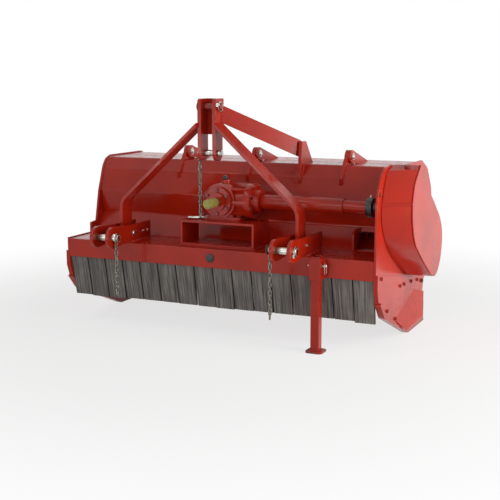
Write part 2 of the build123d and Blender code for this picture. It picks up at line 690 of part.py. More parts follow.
SHAFT_LEFT_X = LEFT_X - BEARING_OUT + BEARING_FLOOR + LUG_CLEAR
with BuildPart() as rotor:
    with BuildSketch(Plane.YZ.offset(SHAFT_LEFT_X)):
        with Locations((ROTOR_Y, ROTOR_Z)):
            Circle(SHAFT_R)
    extrude(amount=RIGHT_X - LUG_CLEAR - SHAFT_LEFT_X)
    with BuildSketch(Plane.YZ.offset(DRUM_LEFT_X)):
        with Locations((ROTOR_Y, ROTOR_Z)):
            Circle(DRUM_R)
    extrude(amount=DRUM_RIGHT_X - DRUM_LEFT_X)
    for i in range(HAMMER_COUNT):
        for cheek in (-1, 1):
            with BuildSketch(hammer_plane(i).offset(cheek * (HAMMER_W / 2 + LUG_CLEAR))):
                with BuildLine():
                    Polyline(
                        (0, -LUG_EYE_R * 2),
                        (HAMMER_PIN_AT, -LUG_EYE_R),
                        (HAMMER_PIN_AT, LUG_EYE_R),
                        (0, LUG_EYE_R * 2),
                        close=True,
                    )
                make_face()
                with Locations((HAMMER_PIN_AT, 0)):
                    Circle(LUG_EYE_R)
            extrude(amount=cheek * LUG_T)
        with BuildSketch(hammer_plane(i)):
            with Locations((HAMMER_PIN_AT, 0)):
                Circle(HAMMER_PIN_R)
        extrude(amount=HAMMER_W / 2 + LUG_CLEAR + LUG_T, both=True)

with BuildPart() as hammers:
    for i in range(HAMMER_COUNT):
        with BuildSketch(hammer_plane(i)):
            with BuildLine():
                Polyline(
                    (DRUM_R + LUG_T, -HAMMER_NECK_T / 2),
                    (HAMMER_TIP_R - HAMMER_HEAD_L, -HAMMER_NECK_T / 2),
                    (HAMMER_TIP_R - HAMMER_HEAD_L / 2, -HAMMER_T / 2),
                    (HAMMER_TIP_R - HAMMER_NECK_T / 4, -HAMMER_T / 2),
                    (HAMMER_TIP_R - HAMMER_NECK_T, HAMMER_NECK_T),
                    (HAMMER_TIP_R - HAMMER_HEAD_L, HAMMER_NECK_T / 2),
                    (DRUM_R + LUG_T, HAMMER_NECK_T / 2),
                    close=True,
                )
            make_face()
            with Locations((HAMMER_PIN_AT, 0)):
                Circle(HAMMER_EYE_R)
                Circle(HAMMER_PIN_R + PIN_CLEAR, mode=Mode.SUBTRACT)
        extrude(amount=HAMMER_W / 2, both=True)

# Flange bearing that carries the rotor at the left plate
with BuildPart() as left_bearing:
    with BuildSketch(Plane.YZ.offset(LEFT_X)):
        with Locations((ROTOR_Y, ROTOR_Z)):
            Circle(BEARING_R)
    extrude(amount=-BEARING_FLANGE_T)
    with BuildSketch(Plane.YZ.offset(LEFT_X)):
        with Locations((ROTOR_Y, ROTOR_Z)):
            Circle(BEARING_HUB_R)
    extrude(amount=-BEARING_OUT)
    with BuildSketch(Plane.YZ.offset(LEFT_X)):
        with Locations((ROTOR_Y, ROTOR_Z)):
            Circle(SHAFT_R + RUN_CLEAR)
    extrude(amount=-(BEARING_OUT - BEARING_FLOOR), mode=Mode.SUBTRACT)

# Rear bonnet, a folded sheet with straps that reach forward to the ears
BONNET_FRONT_Y = HOOD_REAR_Y + BONNET_GAP
BONNET_PATH = [
    (BONNET_FRONT_Y, HOOD_TOP_Z),
    (BONNET_SHOULDER_Y, HOOD_TOP_Z),
    BONNET_WAIST,
    BONNET_HIP,
    (BONNET_HIP[0], BONNET_LOW_Z),
]
with BuildPart() as rear_bonnet:
    with BuildSketch(Plane.YZ.offset(INNER_LEFT_X + BONNET_SIDE_GAP)):
        with BuildLine():
            FilletPolyline(*BONNET_PATH, radius=BONNET_BEND_R)
            offset(amount=SHEET_T, side=Side.RIGHT, kind=Kind.INTERSECTION)
        make_face()
    extrude(amount=INNER_W - 2 * BONNET_SIDE_GAP)
    for ear_x in EAR_X:
        with BuildSketch(Plane.YZ.offset(ear_x + EAR_T / 2 + STRAP_GAP)):
            with BuildLine():
                Polyline(
                    (EAR_Y, EAR_Z - EAR_R),
                    (EAR_Y, EAR_Z + EAR_R),
                    (HOOD_REAR_Y + STRAP_FOOT, HOOD_TOP_Z),
                    (BONNET_FRONT_Y, HOOD_TOP_Z),
                    close=True,
                )
            make_face()
            with Locations((EAR_Y, EAR_Z)):
                Circle(EAR_R)
                Circle(EAR_PIN_D / 2 + EAR_PIN_CLEAR, mode=Mode.SUBTRACT)
        extrude(amount=STRAP_T)

with BuildPart() as hinge_pins:
    for ear_x in EAR_X:
        with BuildSketch(Plane.YZ.offset(ear_x - EAR_T)):
            with Locations((EAR_Y, EAR_Z)):
                Circle(EAR_PIN_D / 2)
        extrude(amount=2 * EAR_T + STRAP_GAP + STRAP_T)

# Parking stand: a square leg in a sleeve on the beam's front
with BuildPart() as stand_sleeve:
    with BuildSketch(Plane.XY.offset(SLEEVE_LOW_Z)):
        with Locations((STAND_X, STAND_Y)):
            Rectangle(SLEEVE_SIDE, SLEEVE_SIDE)
            Rectangle(LEG_SIDE + 2 * SLEEVE_CLEAR, LEG_SIDE + 2 * SLEEVE_CLEAR, mode=Mode.SUBTRACT)
    extrude(amount=SLEEVE_TOP_Z - SLEEVE_LOW_Z)

with BuildPart() as stand_leg:
    with BuildSketch():
        with Locations((STAND_X, STAND_Y)):
            RectangleRounded(FOOT_SIDE, FOOT_SIDE, FOOT_CORNER_R)
    extrude(amount=FOOT_T)
    with BuildSketch(Plane.XY.offset(FOOT_T)):
        with Locations((STAND_X, STAND_Y)):
            Rectangle(LEG_SIDE, LEG_SIDE)
            Rectangle(LEG_SIDE - 2 * LEG_WALL, LEG_SIDE - 2 * LEG_WALL, mode=Mode.SUBTRACT)
    extrude(amount=LEG_TOP_Z - FOOT_T)

# Chains. Columns: top link's middle X, Y, the pin's height and diameter, and the number of links.
LINK_OUT = CLEVIS_OUT_W / 2 + LOWER_PIN_OUT / 2
CHAIN_TABLE = {
    "chain_mast": (HITCH_X - MAST_OUT_W / 2 - TOP_PIN_OUT / 2, MAST_Y, MAST_LOW_Z, TOP_PIN_D, LINKS_MAST),
    "chain_left": (lower_x(-1) + LINK_OUT, LOWER_Y, LOWER_Z, LOWER_PIN_D, LINKS_LEFT),
    "chain_right": (lower_x(1) - LINK_OUT, LOWER_Y, LOWER_Z, LOWER_PIN_D, LINKS_RIGHT),
}
chains = {}
for name, (chain_x, chain_y, pin_z, pin_d, links) in CHAIN_TABLE.items():
    first_z = pin_z - pin_d / 2 - CHAIN_PITCH / 2 - CHAIN_WIRE - PIN_CLEAR
    with BuildPart() as chain:
        for i in range(int(links)):
            middle = (chain_x, chain_y, first_z - i * (CHAIN_PITCH - CHAIN_CLEAR))
            turn = (0, 1, 0) if i % 2 else (1, 0, 0)
            with BuildSketch(Plane(origin=middle, x_dir=(0, 0, 1), z_dir=turn)):
                SlotOverall(CHAIN_PITCH + 2 * CHAIN_WIRE, CHAIN_WIDTH)
                SlotOverall(CHAIN_PITCH, CHAIN_WIDTH - 2 * CHAIN_WIRE, mode=Mode.SUBTRACT)
            extrude(amount=CHAIN_WIRE / 2, both=True)
    chains[name] = chain

# One STEP file for each piece
PIECES = {
    **side_plates,
    "front_beam": front_beam,
    "hood": hood,
    "beam_gusset": beam_gusset,
    "front_flaps": front_flaps,
    "flap_rail": flap_rail,
    "belt_housing": belt_housing,
    "belt_cover": belt_cover,
    **skids,
    "gearbox_stool": gearbox_stool,
    "gearbox": gearbox,
    "pto_shaft": pto_shaft,
    "pto_cap": pto_cap,
    "cross_tube": cross_tube,
    "cross_collar": cross_collar,
    "mast": mast,
    **mast_pins,
    **clevises,
    **lower_pins,
    **frame_bars,
    "hood_ears": hood_ears,
    "brace_lug": brace_lug,
    "mast_brace": mast_brace,
    "rotor": rotor,
    "hammers": hammers,
    "left_bearing": left_bearing,
    "rear_bonnet": rear_bonnet,
    "hinge_pins": hinge_pins,
    "stand_sleeve": stand_sleeve,
    "stand_leg": stand_leg,
    **chains,
}
os.makedirs("parts", exist_ok=True)
for name, piece in PIECES.items():
    piece.part.label = name
    export_step(piece.part, f"parts/{name}.step")
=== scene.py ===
import logging
import math
import random
from collections.abc import Callable, Iterator
from contextlib import contextmanager
from dataclasses import dataclass, field
from enum import Enum

import bmesh
import bpy
from mathutils import Matrix, Vector


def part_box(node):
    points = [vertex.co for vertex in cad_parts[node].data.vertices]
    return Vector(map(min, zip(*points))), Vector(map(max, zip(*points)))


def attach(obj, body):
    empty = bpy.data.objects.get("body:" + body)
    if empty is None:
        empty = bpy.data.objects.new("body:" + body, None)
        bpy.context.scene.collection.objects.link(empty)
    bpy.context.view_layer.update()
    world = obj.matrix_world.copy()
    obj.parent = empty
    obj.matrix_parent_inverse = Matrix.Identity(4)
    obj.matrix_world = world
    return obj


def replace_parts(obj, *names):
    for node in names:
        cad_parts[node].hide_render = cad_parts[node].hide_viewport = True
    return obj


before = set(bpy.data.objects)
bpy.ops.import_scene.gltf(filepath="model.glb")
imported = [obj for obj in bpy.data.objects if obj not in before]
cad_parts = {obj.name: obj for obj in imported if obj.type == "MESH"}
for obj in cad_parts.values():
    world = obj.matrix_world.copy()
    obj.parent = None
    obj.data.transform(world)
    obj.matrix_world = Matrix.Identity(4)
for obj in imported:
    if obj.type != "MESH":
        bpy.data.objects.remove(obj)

# Looks of the tractor mulcher: enamel, rubber, plating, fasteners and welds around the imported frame.
# Metres, in the frame's own axes: +X to the belt side, -Y to the tractor, Z up from the floor.

LOG = logging.getLogger("mulcher")
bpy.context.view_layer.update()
MM = 0.001
# A face looks along an axis where its normal has more than this share there.
SQUARE_ON = 0.9
# Turns stock that stands along Z to lie along Y.
LYING = (math.radians(90), 0, 0)
SOFT = {"interpolation_type": "SMOOTHSTEP"}
Pair = tuple[float, float]
Point = tuple[float, float, float]
Row = tuple[float, ...]
Piece = bpy.types.Object
Tree = bpy.types.NodeTree
Inputs = dict | tuple
FaceTest = Callable[[Vector, Vector], bool]


def linear(hex_colour: str) -> tuple[float, float, float, float]:
    """Turns an sRGB hex colour to linear light.

    Args:
        hex_colour: Six hex digits, with or without a leading hash.

    Returns:
        Linear red, green, blue and an alpha of one.
    """
    digits = hex_colour.lstrip("#")
    channels = [int(digits[i:i + 2], 16) / 255 for i in (0, 2, 4)]
    light = [c / 12.92 if c <= 0.04045 else ((c + 0.055) / 1.055) ** 2.4 for c in channels]
    return (*light, 1.0)


def per_mm(millimetres: float) -> float:
    """Gives the texture scale whose pattern repeats at about that many millimetres."""
    return 1000.0 / millimetres


class Kind(Enum):
    """Shader nodes that the finishes are made of."""

    WHERE = "ShaderNodeTexCoord"
    MAPPING = "ShaderNodeMapping"
    AXES = "ShaderNodeSeparateXYZ"
    NOISE = "ShaderNodeTexNoise"
    DICE = "ShaderNodeTexWhiteNoise"
    BAND = "ShaderNodeMapRange"
    MATH = "ShaderNodeMath"
    LENGTH = "ShaderNodeVectorMath"
    MIX = "ShaderNodeMix"
    BUMP = "ShaderNodeBump"
    RAYS = "ShaderNodeLightPath"
    GLOW = "ShaderNodeEmission"
    BLEND = "ShaderNodeMixShader"


def feed(tree: Tree, node: bpy.types.Node, inputs: Inputs) -> None:
    """Sets a node's inputs.

    Args:
        tree: The node's tree.
        node: The node.
        inputs: Its inputs by name or index, or in their own order. Each is a value to set, or an
            output socket to link, or a node whose first output in use is linked.
    """
    named = inputs.items() if isinstance(inputs, dict) else enumerate(inputs)
    for name, value in named:
        if isinstance(value, bpy.types.Node):
            value = next(socket for socket in value.outputs if socket.enabled)
        if isinstance(value, bpy.types.NodeSocket):
            tree.links.new(value, node.inputs[name])
        else:
            node.inputs[name].default_value = value


def add_node(tree: Tree, kind: Kind, inputs: Inputs = (), **settings: object) -> bpy.types.Node:
    """Adds one shader node with its settings and links.

    Args:
        tree: Node tree that takes the node.
        kind: What kind of node.
        inputs: Its inputs, as feed takes them.
        **settings: Properties of the node.

    Returns:
        The new node.
    """
    node = tree.nodes.new(kind.value)
    for name, value in settings.items():
        setattr(node, name, value)
    feed(tree, node, inputs)
    return node


def shader(name: str) -> tuple[bpy.types.Material, Tree, bpy.types.Node, bpy.types.NodeSocket]:
    """Starts a material.

    Args:
        name: The material's name.

    Returns:
        The material, its node tree, its Principled shader and the Object coordinates.
    """
    material = bpy.data.materials.new(name)
    material.use_nodes = True
    tree = material.node_tree
    principled = tree.nodes["Principled BSDF"]
    where = add_node(tree, Kind.WHERE).outputs["Object"]
    return material, tree, principled, where


# Enamel sprayed on steel gives the eye an even wet red with lamps drawn sharply in it.
# Its orange peel is about 2 mm in life, and is drawn coarser here so that it shows.
@dataclass(frozen=True)
class GlossEnamel:
    """Sprayed machine enamel: red with orange peel, a darker red in specks low down, and scuffed to steel
    at the soles.
    """

    name: str = "gloss_enamel"
    body: str = "#BB2811"
    thin: str = "#A5210E"
    low_tone: str = "#94331F"
    scuff: str = "#5B4A42"
    roughness: Pair = (0.16, 0.27)
    ior: float = 1.5
    specular: float = 0.31
    patch_mm: float = 260.0
    low_tone_mm: float = 30.0
    peel_mm: float = 11.0
    scuff_mm: float = 9.0
    octaves: Row = (3.0, 3.0, 2.0, 5.0)
    patch_band: Pair = (0.35, 0.7)
    low_tone_band: Pair = (0.42, 0.78)
    scuff_band: Pair = (0.35, 0.55)
    gloss_band: Pair = (0.3, 0.7)
    low_tone_top: float = 0.24
    low_tone_most: float = 0.5
    low_tone_dulls: float = 0.2
    scuff_top: float = 0.014
    peel_strength: float = 0.05
    peel_depth: float = 0.5 * MM

    def material(self) -> bpy.types.Material:
        """Builds the enamel.

        Returns:
            The material.
        """
        material, tree, principled, where = shader(self.name)
        sizes = (self.patch_mm, self.low_tone_mm, self.peel_mm, self.scuff_mm)
        patch, speck, peel, scratch = (
            add_node(tree, Kind.NOISE, {"Vector": where, "Scale": per_mm(size), "Detail": detail})
            for size, detail in zip(sizes, self.octaves)
        )
        bands = ((patch, self.patch_band), (speck, self.low_tone_band), (scratch, self.scuff_band))
        thinner, specks, scratches = (
            add_node(tree, Kind.BAND, (pattern, *band), **SOFT) for pattern, band in bands
        )
        height = add_node(tree, Kind.AXES, {"Vector": where}).outputs["Z"]
        # A darker, browner red in specks towards the floor, with a rougher gloss there.
        low_down = add_node(tree, Kind.BAND, (height, self.low_tone_top, 0.0, 0.0, self.low_tone_most), **SOFT)
        at_sole = add_node(tree, Kind.BAND, (height, self.scuff_top, 0.0), **SOFT)
        low_toned = add_node(tree, Kind.MATH, (low_down, specks), operation="MULTIPLY")
        bare = add_node(tree, Kind.MATH, (at_sole, scratches), operation="MULTIPLY")
        colour = linear(self.body)
        layers = ((thinner, self.thin), (low_toned, self.low_tone), (bare, self.scuff))
        for share, tone in layers:
            colour = add_node(tree, Kind.MIX, {0: share, 6: colour, 7: linear(tone)}, data_type="RGBA")
        clean = add_node(tree, Kind.BAND, (speck, *self.gloss_band, *self.roughness), **SOFT)
        dulled = add_node(tree, Kind.MATH, (low_toned, self.low_tone_dulls), operation="MULTIPLY")
        relief = {"Height": peel, "Strength": self.peel_strength, "Distance": self.peel_depth}
        feed(tree, principled, {
            "Base Color": colour,
            "Roughness": add_node(tree, Kind.MATH, (clean, dulled), operation="ADD"),
            "Normal": add_node(tree, Kind.BUMP, relief),
            "IOR": self.ior,
            "Specular IOR Level": self.specular,
        })
        return material


# Cut sheet rubber gives the eye a dull dark grey, chalky with bloom and rubbed in pale streaks.
# Its grit is finer than 1 mm in life, and is drawn coarser here so that it shows.
@dataclass(frozen=True)
class ChalkyRubber:
    """Cut rubber: bloomed to grey, rubbed in streaks down its length, with painted shade darkening each
    flap's cut sides.
    """

    name: str = "chalky_rubber"
    body: str = "#696460"
    bloom: str = "#96908A"
    crease_and_side_shade: str = "#2C2927"
    roughness: float = 0.85
    specular: float = 0.3
    streak_mm: float = 6.0
    streak_length_mm: float = 160.0
    streak_octaves: float = 6.0
    cloud_mm: float = 70.0
    grit_mm: float = 4.0
    octaves: float = 4.0
    flap_pitch: float = 88.5625 * MM
    first_edge: float = -748.0 * MM
    streak_band: Row = (0.40, 0.66)
    cloud_band: Row = (0.25, 0.65, 0.35, 1.0)
    crease_band: Row = (0.41, 0.29, 0.0, 0.8)
    tone_band: Row = (0.0, 1.0, 0.16, 0.0)
    side_shade_band: Row = (0.45, 0.475, 0.0, 0.95)
    streak_strength: float = 0.45
    streak_depth: float = 2 * MM
    grit_strength: float = 0.3
    grit_depth: float = 1 * MM

    def material(self) -> bpy.types.Material:
        """Builds the rubber.

        Returns:
            The material.
        """
        material, tree, principled, where = shader(self.name)
        scale = (per_mm(self.streak_mm), 1.0, per_mm(self.streak_length_mm))
        drawn = add_node(tree, Kind.MAPPING, {"Vector": where, "Scale": scale})
        patterns = (
            (drawn, 1.0, self.streak_octaves),
            (where, per_mm(self.cloud_mm), self.octaves),
            (where, per_mm(self.grit_mm), self.octaves),
        )
        streak, cloud, grit = (
            add_node(tree, Kind.NOISE, {"Vector": spot, "Scale": size, "Detail": detail})
            for spot, size, detail in patterns
        )
        along = add_node(tree, Kind.AXES, {"Vector": where}).outputs["X"]
        from_edge = add_node(tree, Kind.MATH, (along, self.first_edge), operation="SUBTRACT")
        across = add_node(tree, Kind.MATH, (from_edge, self.flap_pitch), operation="DIVIDE")
        flap = add_node(tree, Kind.MATH, (across,), operation="FLOOR")
        on_flap = add_node(tree, Kind.MATH, (across,), operation="FRACT")
        from_middle = add_node(tree, Kind.MATH, (on_flap, 0.5), operation="SUBTRACT")
        off_middle = add_node(tree, Kind.MATH, (from_middle,), operation="ABSOLUTE")
        dice = add_node(tree, Kind.DICE, {"W": flap}, noise_dimensions="1D")
        bands = (
            (streak, self.streak_band), (cloud, self.cloud_band), (streak, self.crease_band),
            (dice, self.tone_band), (off_middle, self.side_shade_band),
        )
        streaky, cloudy, creased, darker, side_shade = (
            add_node(tree, Kind.BAND, (pattern, *band), **SOFT) for pattern, band in bands
        )
        rubbed = add_node(tree, Kind.MATH, (streaky, cloudy), operation="MULTIPLY")
        dark = add_node(tree, Kind.MATH, (creased, darker), operation="MAXIMUM")
        # Painted shade: each flap darkens towards its two cut sides, standing in for the shade in the gaps
        # between flaps.
        dark_tone_and_side_shade = add_node(tree, Kind.MATH, (dark, side_shade), operation="MAXIMUM")
        colour = linear(self.body)
        for share, tone in ((rubbed, self.bloom), (dark_tone_and_side_shade, self.crease_and_side_shade)):
            colour = add_node(tree, Kind.MIX, {0: share, 6: colour, 7: linear(tone)}, data_type="RGBA")
        coarse = {"Height": streak, "Strength": self.streak_strength, "Distance": self.streak_depth}
        fine = {"Height": grit, "Strength": self.grit_strength, "Distance": self.grit_depth}
        fine["Normal"] = add_node(tree, Kind.BUMP, coarse)
        feed(tree, principled, {
            "Base Color": colour,
            "Roughness": self.roughness,
            "Normal": add_node(tree, Kind.BUMP, fine),
            "Specular IOR Level": self.specular,
        })
        return material


# The grain of plating, forging and moulding is finer than 1 mm, and is drawn coarser so that it shows.
@dataclass(frozen=True)
class BlotchedSurface:
    """A plated, forged, moulded or painted small part: two tones in soft blotches with a fine bump."""

    name: str
    bright: str
    dull: str
    metallic: float
    roughness: Pair
    blotch_mm: float
    grain_mm: float = 3.0
    grain_strength: float = 0.1
    grain_depth: float = 0.6 * MM
    octaves: float = 5.0
    blotch_band: Pair = (0.38, 0.68)

    def material(self) -> bpy.types.Material:
        """Builds the surface.

        Returns:
            The material.
        """
        material, tree, principled, where = shader(self.name)
        blotch, grain = (
            add_node(tree, Kind.NOISE, {"Vector": where, "Scale": per_mm(size), "Detail": self.octaves})
            for size in (self.blotch_mm, self.grain_mm)
        )
        mask = add_node(tree, Kind.BAND, (blotch, *self.blotch_band), **SOFT)
        tones = {0: mask, 6: linear(self.bright), 7: linear(self.dull)}
        relief = {"Height": grain, "Strength": self.grain_strength, "Distance": self.grain_depth}
        feed(tree, principled, {
            "Base Color": add_node(tree, Kind.MIX, tones, data_type="RGBA"),
            "Roughness": add_node(tree, Kind.BAND, (mask, 0.0, 1.0, *self.roughness), **SOFT),
            "Normal": add_node(tree, Kind.BUMP, relief),
            "Metallic": self.metallic,
        })
        return material


class Coat(Enum):
    """Finishes on the machine."""

    RED = GlossEnamel()
    RUBBER = ChalkyRubber()
    # Bright zinc plating on steel: a cool mirror with clouded spots.
    ZINC = BlotchedSurface("bright_zinc", "#D6D5CE", "#9A968B", 1.0, (0.16, 0.38), 14.0)
    # Zinc gone dull on chain: a soft grey sheen, darker in soft blotches.
    CHAIN = BlotchedSurface("dull_zinc", "#8B867D", "#5C564E", 1.0, (0.34, 0.55), 9.0)
    # Forged iron with its scale on: brown-black, rough, with weak broad lights.
    FORGED = BlotchedSurface("forged_iron", "#57504B", "#43302A", 0.6, (0.45, 0.72), 22.0, 5.0, 0.3)
    # Moulded polyethylene: an olive yellow with a waxy sheen.
    PLASTIC = BlotchedSurface("moulded_cap", "#B3A64A", "#8C8440", 0.0, (0.38, 0.55), 8.0, 4.0, 0.2)
    # Black paint on steel: nearly black, with a soft gloss.
    BLACK = BlotchedSurface("black_paint", "#1F1C1A", "#2C2623", 0.0, (0.28, 0.45), 18.0)
    # Bolts painted with the machine: its red, chipped to a darker one.
    BOLT = BlotchedSurface("painted_bolt", "#A3241B", "#6F2A20", 0.0, (0.25, 0.45), 6.0)


NODE_COATS = {
    "top_hitch_pin": Coat.BOLT,
    "mast_low_pin": Coat.ZINC,
    "lower_pin_left": Coat.ZINC,
    "lower_pin_right": Coat.ZINC,
    "hinge_pins": Coat.ZINC,
    "pto_shaft": Coat.ZINC,
    "cross_collar": Coat.BLACK,
    "hammers": Coat.FORGED,
}


class Stock(Enum):
    """Raw stock for the bench, by the operator that adds it."""

    ROD = "primitive_cylinder_add"
    BALL = "primitive_uv_sphere_add"
    RING = "primitive_torus_add"
    SHEET = "primitive_grid_add"
    DISC = "primitive_circle_add"
    PLANE = "primitive_plane_add"


def alone(piece: Piece) -> None:
    """Makes a piece the only one selected, and active.

    Args:
        piece: The object.
    """
    bpy.ops.object.select_all(action="DESELECT")
    piece.select_set(True)
    bpy.context.view_layer.objects.active = piece


def cut(stock: Stock, **size: object) -> Piece:
    """Adds a length of raw stock.

    Args:
        stock: What kind.
        **size: The operator's sizes, in metres.

    Returns:
        The new object, its place and scale in its mesh.
    """
    bpy.ops.object.select_all(action="DESELECT")
    getattr(bpy.ops.mesh, stock.value)(**size)
    bpy.ops.object.transform_apply(location=True, rotation=True, scale=True)
    return bpy.context.object


@contextmanager
def shaping(piece: Piece) -> Iterator[None]:
    """Opens a piece in edit mode with nothing selected, and closes it after.

    Args:
        piece: The mesh object to shape.

    Yields:
        Nothing.
    """
    alone(piece)
    bpy.ops.object.mode_set(mode="EDIT")
    bpy.ops.mesh.select_all(action="DESELECT")
    yield
    bpy.ops.object.mode_set(mode="OBJECT")


def pick(piece: Piece, wanted: FaceTest) -> None:
    """Selects, in edit mode, only the faces that pass a test.

    Args:
        piece: The object in edit mode.
        wanted: A test on a face's centre and normal.
    """
    bpy.ops.mesh.select_mode(type="FACE")
    bpy.ops.mesh.select_all(action="DESELECT")
    mesh = bmesh.from_edit_mesh(piece.data)
    for face in mesh.faces:
        face.select_set(wanted(face.calc_center_median(), face.normal))
    bmesh.update_edit_mesh(piece.data)


def is_top(centre: Vector, normal: Vector) -> bool:
    """Says whether a face looks up."""
    return normal.z > SQUARE_ON


def is_end(centre: Vector, normal: Vector) -> bool:
    """Says whether a face looks up or down."""
    return abs(normal.z) > SQUARE_ON


def refine(piece: Piece, kind: str, **settings: object) -> None:
    """Adds one modifier to a piece and applies it.

    Args:
        piece: The object.
        kind: The modifier's type, such as SOLIDIFY.
        **settings: The modifier's properties.
    """
    alone(piece)
    modifier = piece.modifiers.new(kind.lower(), kind)
    for name, value in settings.items():
        setattr(modifier, name, value)
    bpy.ops.object.modifier_apply(modifier=modifier.name)


def round_edges(piece: Piece, width: float, degrees: float = 50.0, segments: int = 2) -> None:
    """Bevels the edges of a piece that are sharper than an angle.

    Args:
        piece: The object.
        width: The bevel's width.
        degrees: Edges that turn by less stay as they are.
        segments: Steps across the bevel.
    """
    limit = math.radians(degrees)
    refine(piece, "BEVEL", width=width, segments=segments, limit_method="ANGLE", angle_limit=limit)


def take_all() -> None:
    """Selects the whole piece in edit mode."""
    bpy.ops.mesh.select_all(action="SELECT")


def face_out() -> None:
    """Turns all faces of the piece outwards, in edit mode."""
    take_all()
    bpy.ops.mesh.normals_make_consistent(inside=False)


def shift(x: float, y: float, z: float) -> None:
    """Moves what is selected in edit mode."""
    bpy.ops.transform.translate(value=(x, y, z))


def pull(x: float, y: float, z: float) -> None:
    """Extrudes what is selected in edit mode."""
    bpy.ops.mesh.extrude_region_move(TRANSFORM_OT_translate={"value": (x, y, z)})


def stretch(x: float, y: float, z: float, about: Point = (0, 0, 0)) -> None:
    """Scales what is selected in edit mode about a point."""
    bpy.ops.transform.resize(value=(x, y, z), center_override=about)


def place(at: Point, facing: Point = (0, 0, 1), turn: float = 0.0, size: float = 1.0) -> Matrix:
    """Gives the matrix that puts a piece modelled upright at the origin in its place.

    Args:
        at: Where its foot goes.
        facing: Which way its top looks.
        turn: Degrees about its own axis.
        size: Scale.

    Returns:
        The placing matrix.
    """
    swing = Vector(facing).to_track_quat("Z", "Y").to_matrix().to_4x4()
    spin = Matrix.Rotation(math.radians(turn), 4, "Z")
    return Matrix.Translation(at) @ swing @ spin @ Matrix.Scale(size, 4)


def seat(node: str, start: Point, way: Point, turn: float = 0.0, size: float = 1.0) -> Matrix:
    """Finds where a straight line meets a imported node, and seats a piece square on it there.

    Args:
        node: The node that carries the piece.
        start: A point outside it.
        way: The direction from there to the node.
        turn: Degrees about the piece's own axis.
        size: Scale.

    Returns:
        The placing matrix.
    """
    hit, spot, normal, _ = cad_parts[node].ray_cast(Vector(start), Vector(way))
    if not hit:
        raise ValueError(f"nothing of {node} lies on that line")
    return place(tuple(spot), tuple(normal), turn, size)


def copies(piece: Piece, places: list[Matrix]) -> Piece:
    """Puts a copy of a piece at each place, joins them and drops the pattern.

    Args:
        piece: The pattern, modelled at the origin.
        places: One matrix for each copy.

    Returns:
        The joined copies.
    """
    twins = []
    for spot in places:
        twin = piece.copy()
        twin.data = piece.data.copy()
        twin.data.transform(spot)
        bpy.context.scene.collection.objects.link(twin)
        twins.append(twin)
    bpy.data.objects.remove(piece)
    return join(twins)


def join(pieces: list[Piece]) -> Piece:
    """Joins pieces to one object.

    Args:
        pieces: The objects, of which the first stays.

    Returns:
        The joined object.
    """
    alone(pieces[0])
    for piece in pieces:
        piece.select_set(True)
    if len(pieces) > 1:
        bpy.ops.object.join()
    return bpy.context.object


@dataclass
class Workshop:
    """Finishes made once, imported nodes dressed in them, and the last step of each added piece."""

    edge_round: float = 2.0 * MM
    edge_angle: float = 25.0
    edge_steps: int = 2
    weld_gap: float = 0.02 * MM
    flat_angle: float = 1.0

    def __post_init__(self) -> None:
        """Builds each finish."""
        self.materials = {coat: coat.value.material() for coat in Coat}

    def dress(self) -> None:
        """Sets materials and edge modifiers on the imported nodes."""
        for name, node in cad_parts.items():
            coat = NODE_COATS.get(name, Coat.RED)
            node.data.materials.clear()
            node.data.materials.append(self.materials[coat])
            self.soften(node)
            LOG.info("node %s in %s", name, coat.name)

    def soften(self, node: Piece) -> None:
        """Rounds a node's hard edges with live modifiers.

        Args:
            node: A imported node's object.
        """
        weld = node.modifiers.new("join", "WELD")
        weld.merge_threshold = self.weld_gap
        flat = node.modifiers.new("flat", "DECIMATE")
        flat.decimate_type = "DISSOLVE"
        flat.angle_limit = math.radians(self.flat_angle)
        bevel = node.modifiers.new("round", "BEVEL")
        bevel.width = self.edge_round
        bevel.segments = self.edge_steps
        bevel.limit_method = "ANGLE"
        bevel.angle_limit = math.radians(self.edge_angle)
        bevel.harden_normals = True

    def hand_over(
        self, piece: Piece, name: str, coat: Coat, body: str = "frame", smooth: float = 35.0
    ) -> Piece:
        """Finishes an added piece: shading, coat and body.

        Args:
            piece: The piece, its place in its mesh.
            name: Its name.
            coat: Its finish.
            body: The body that it moves with.
            smooth: Edges sharper than these degrees stay sharp.

        Returns:
            The piece.
        """
        alone(piece)
        bpy.ops.object.shade_smooth_by_angle(angle=math.radians(smooth))
        piece.name = name
        piece.data.name = name
        piece.data.materials.clear()
        piece.data.materials.append(self.materials[coat])
        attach(piece, body)
        LOG.info("piece %s in %s on %s, %d faces", name, coat.name, body, len(piece.data.polygons))
        return piece


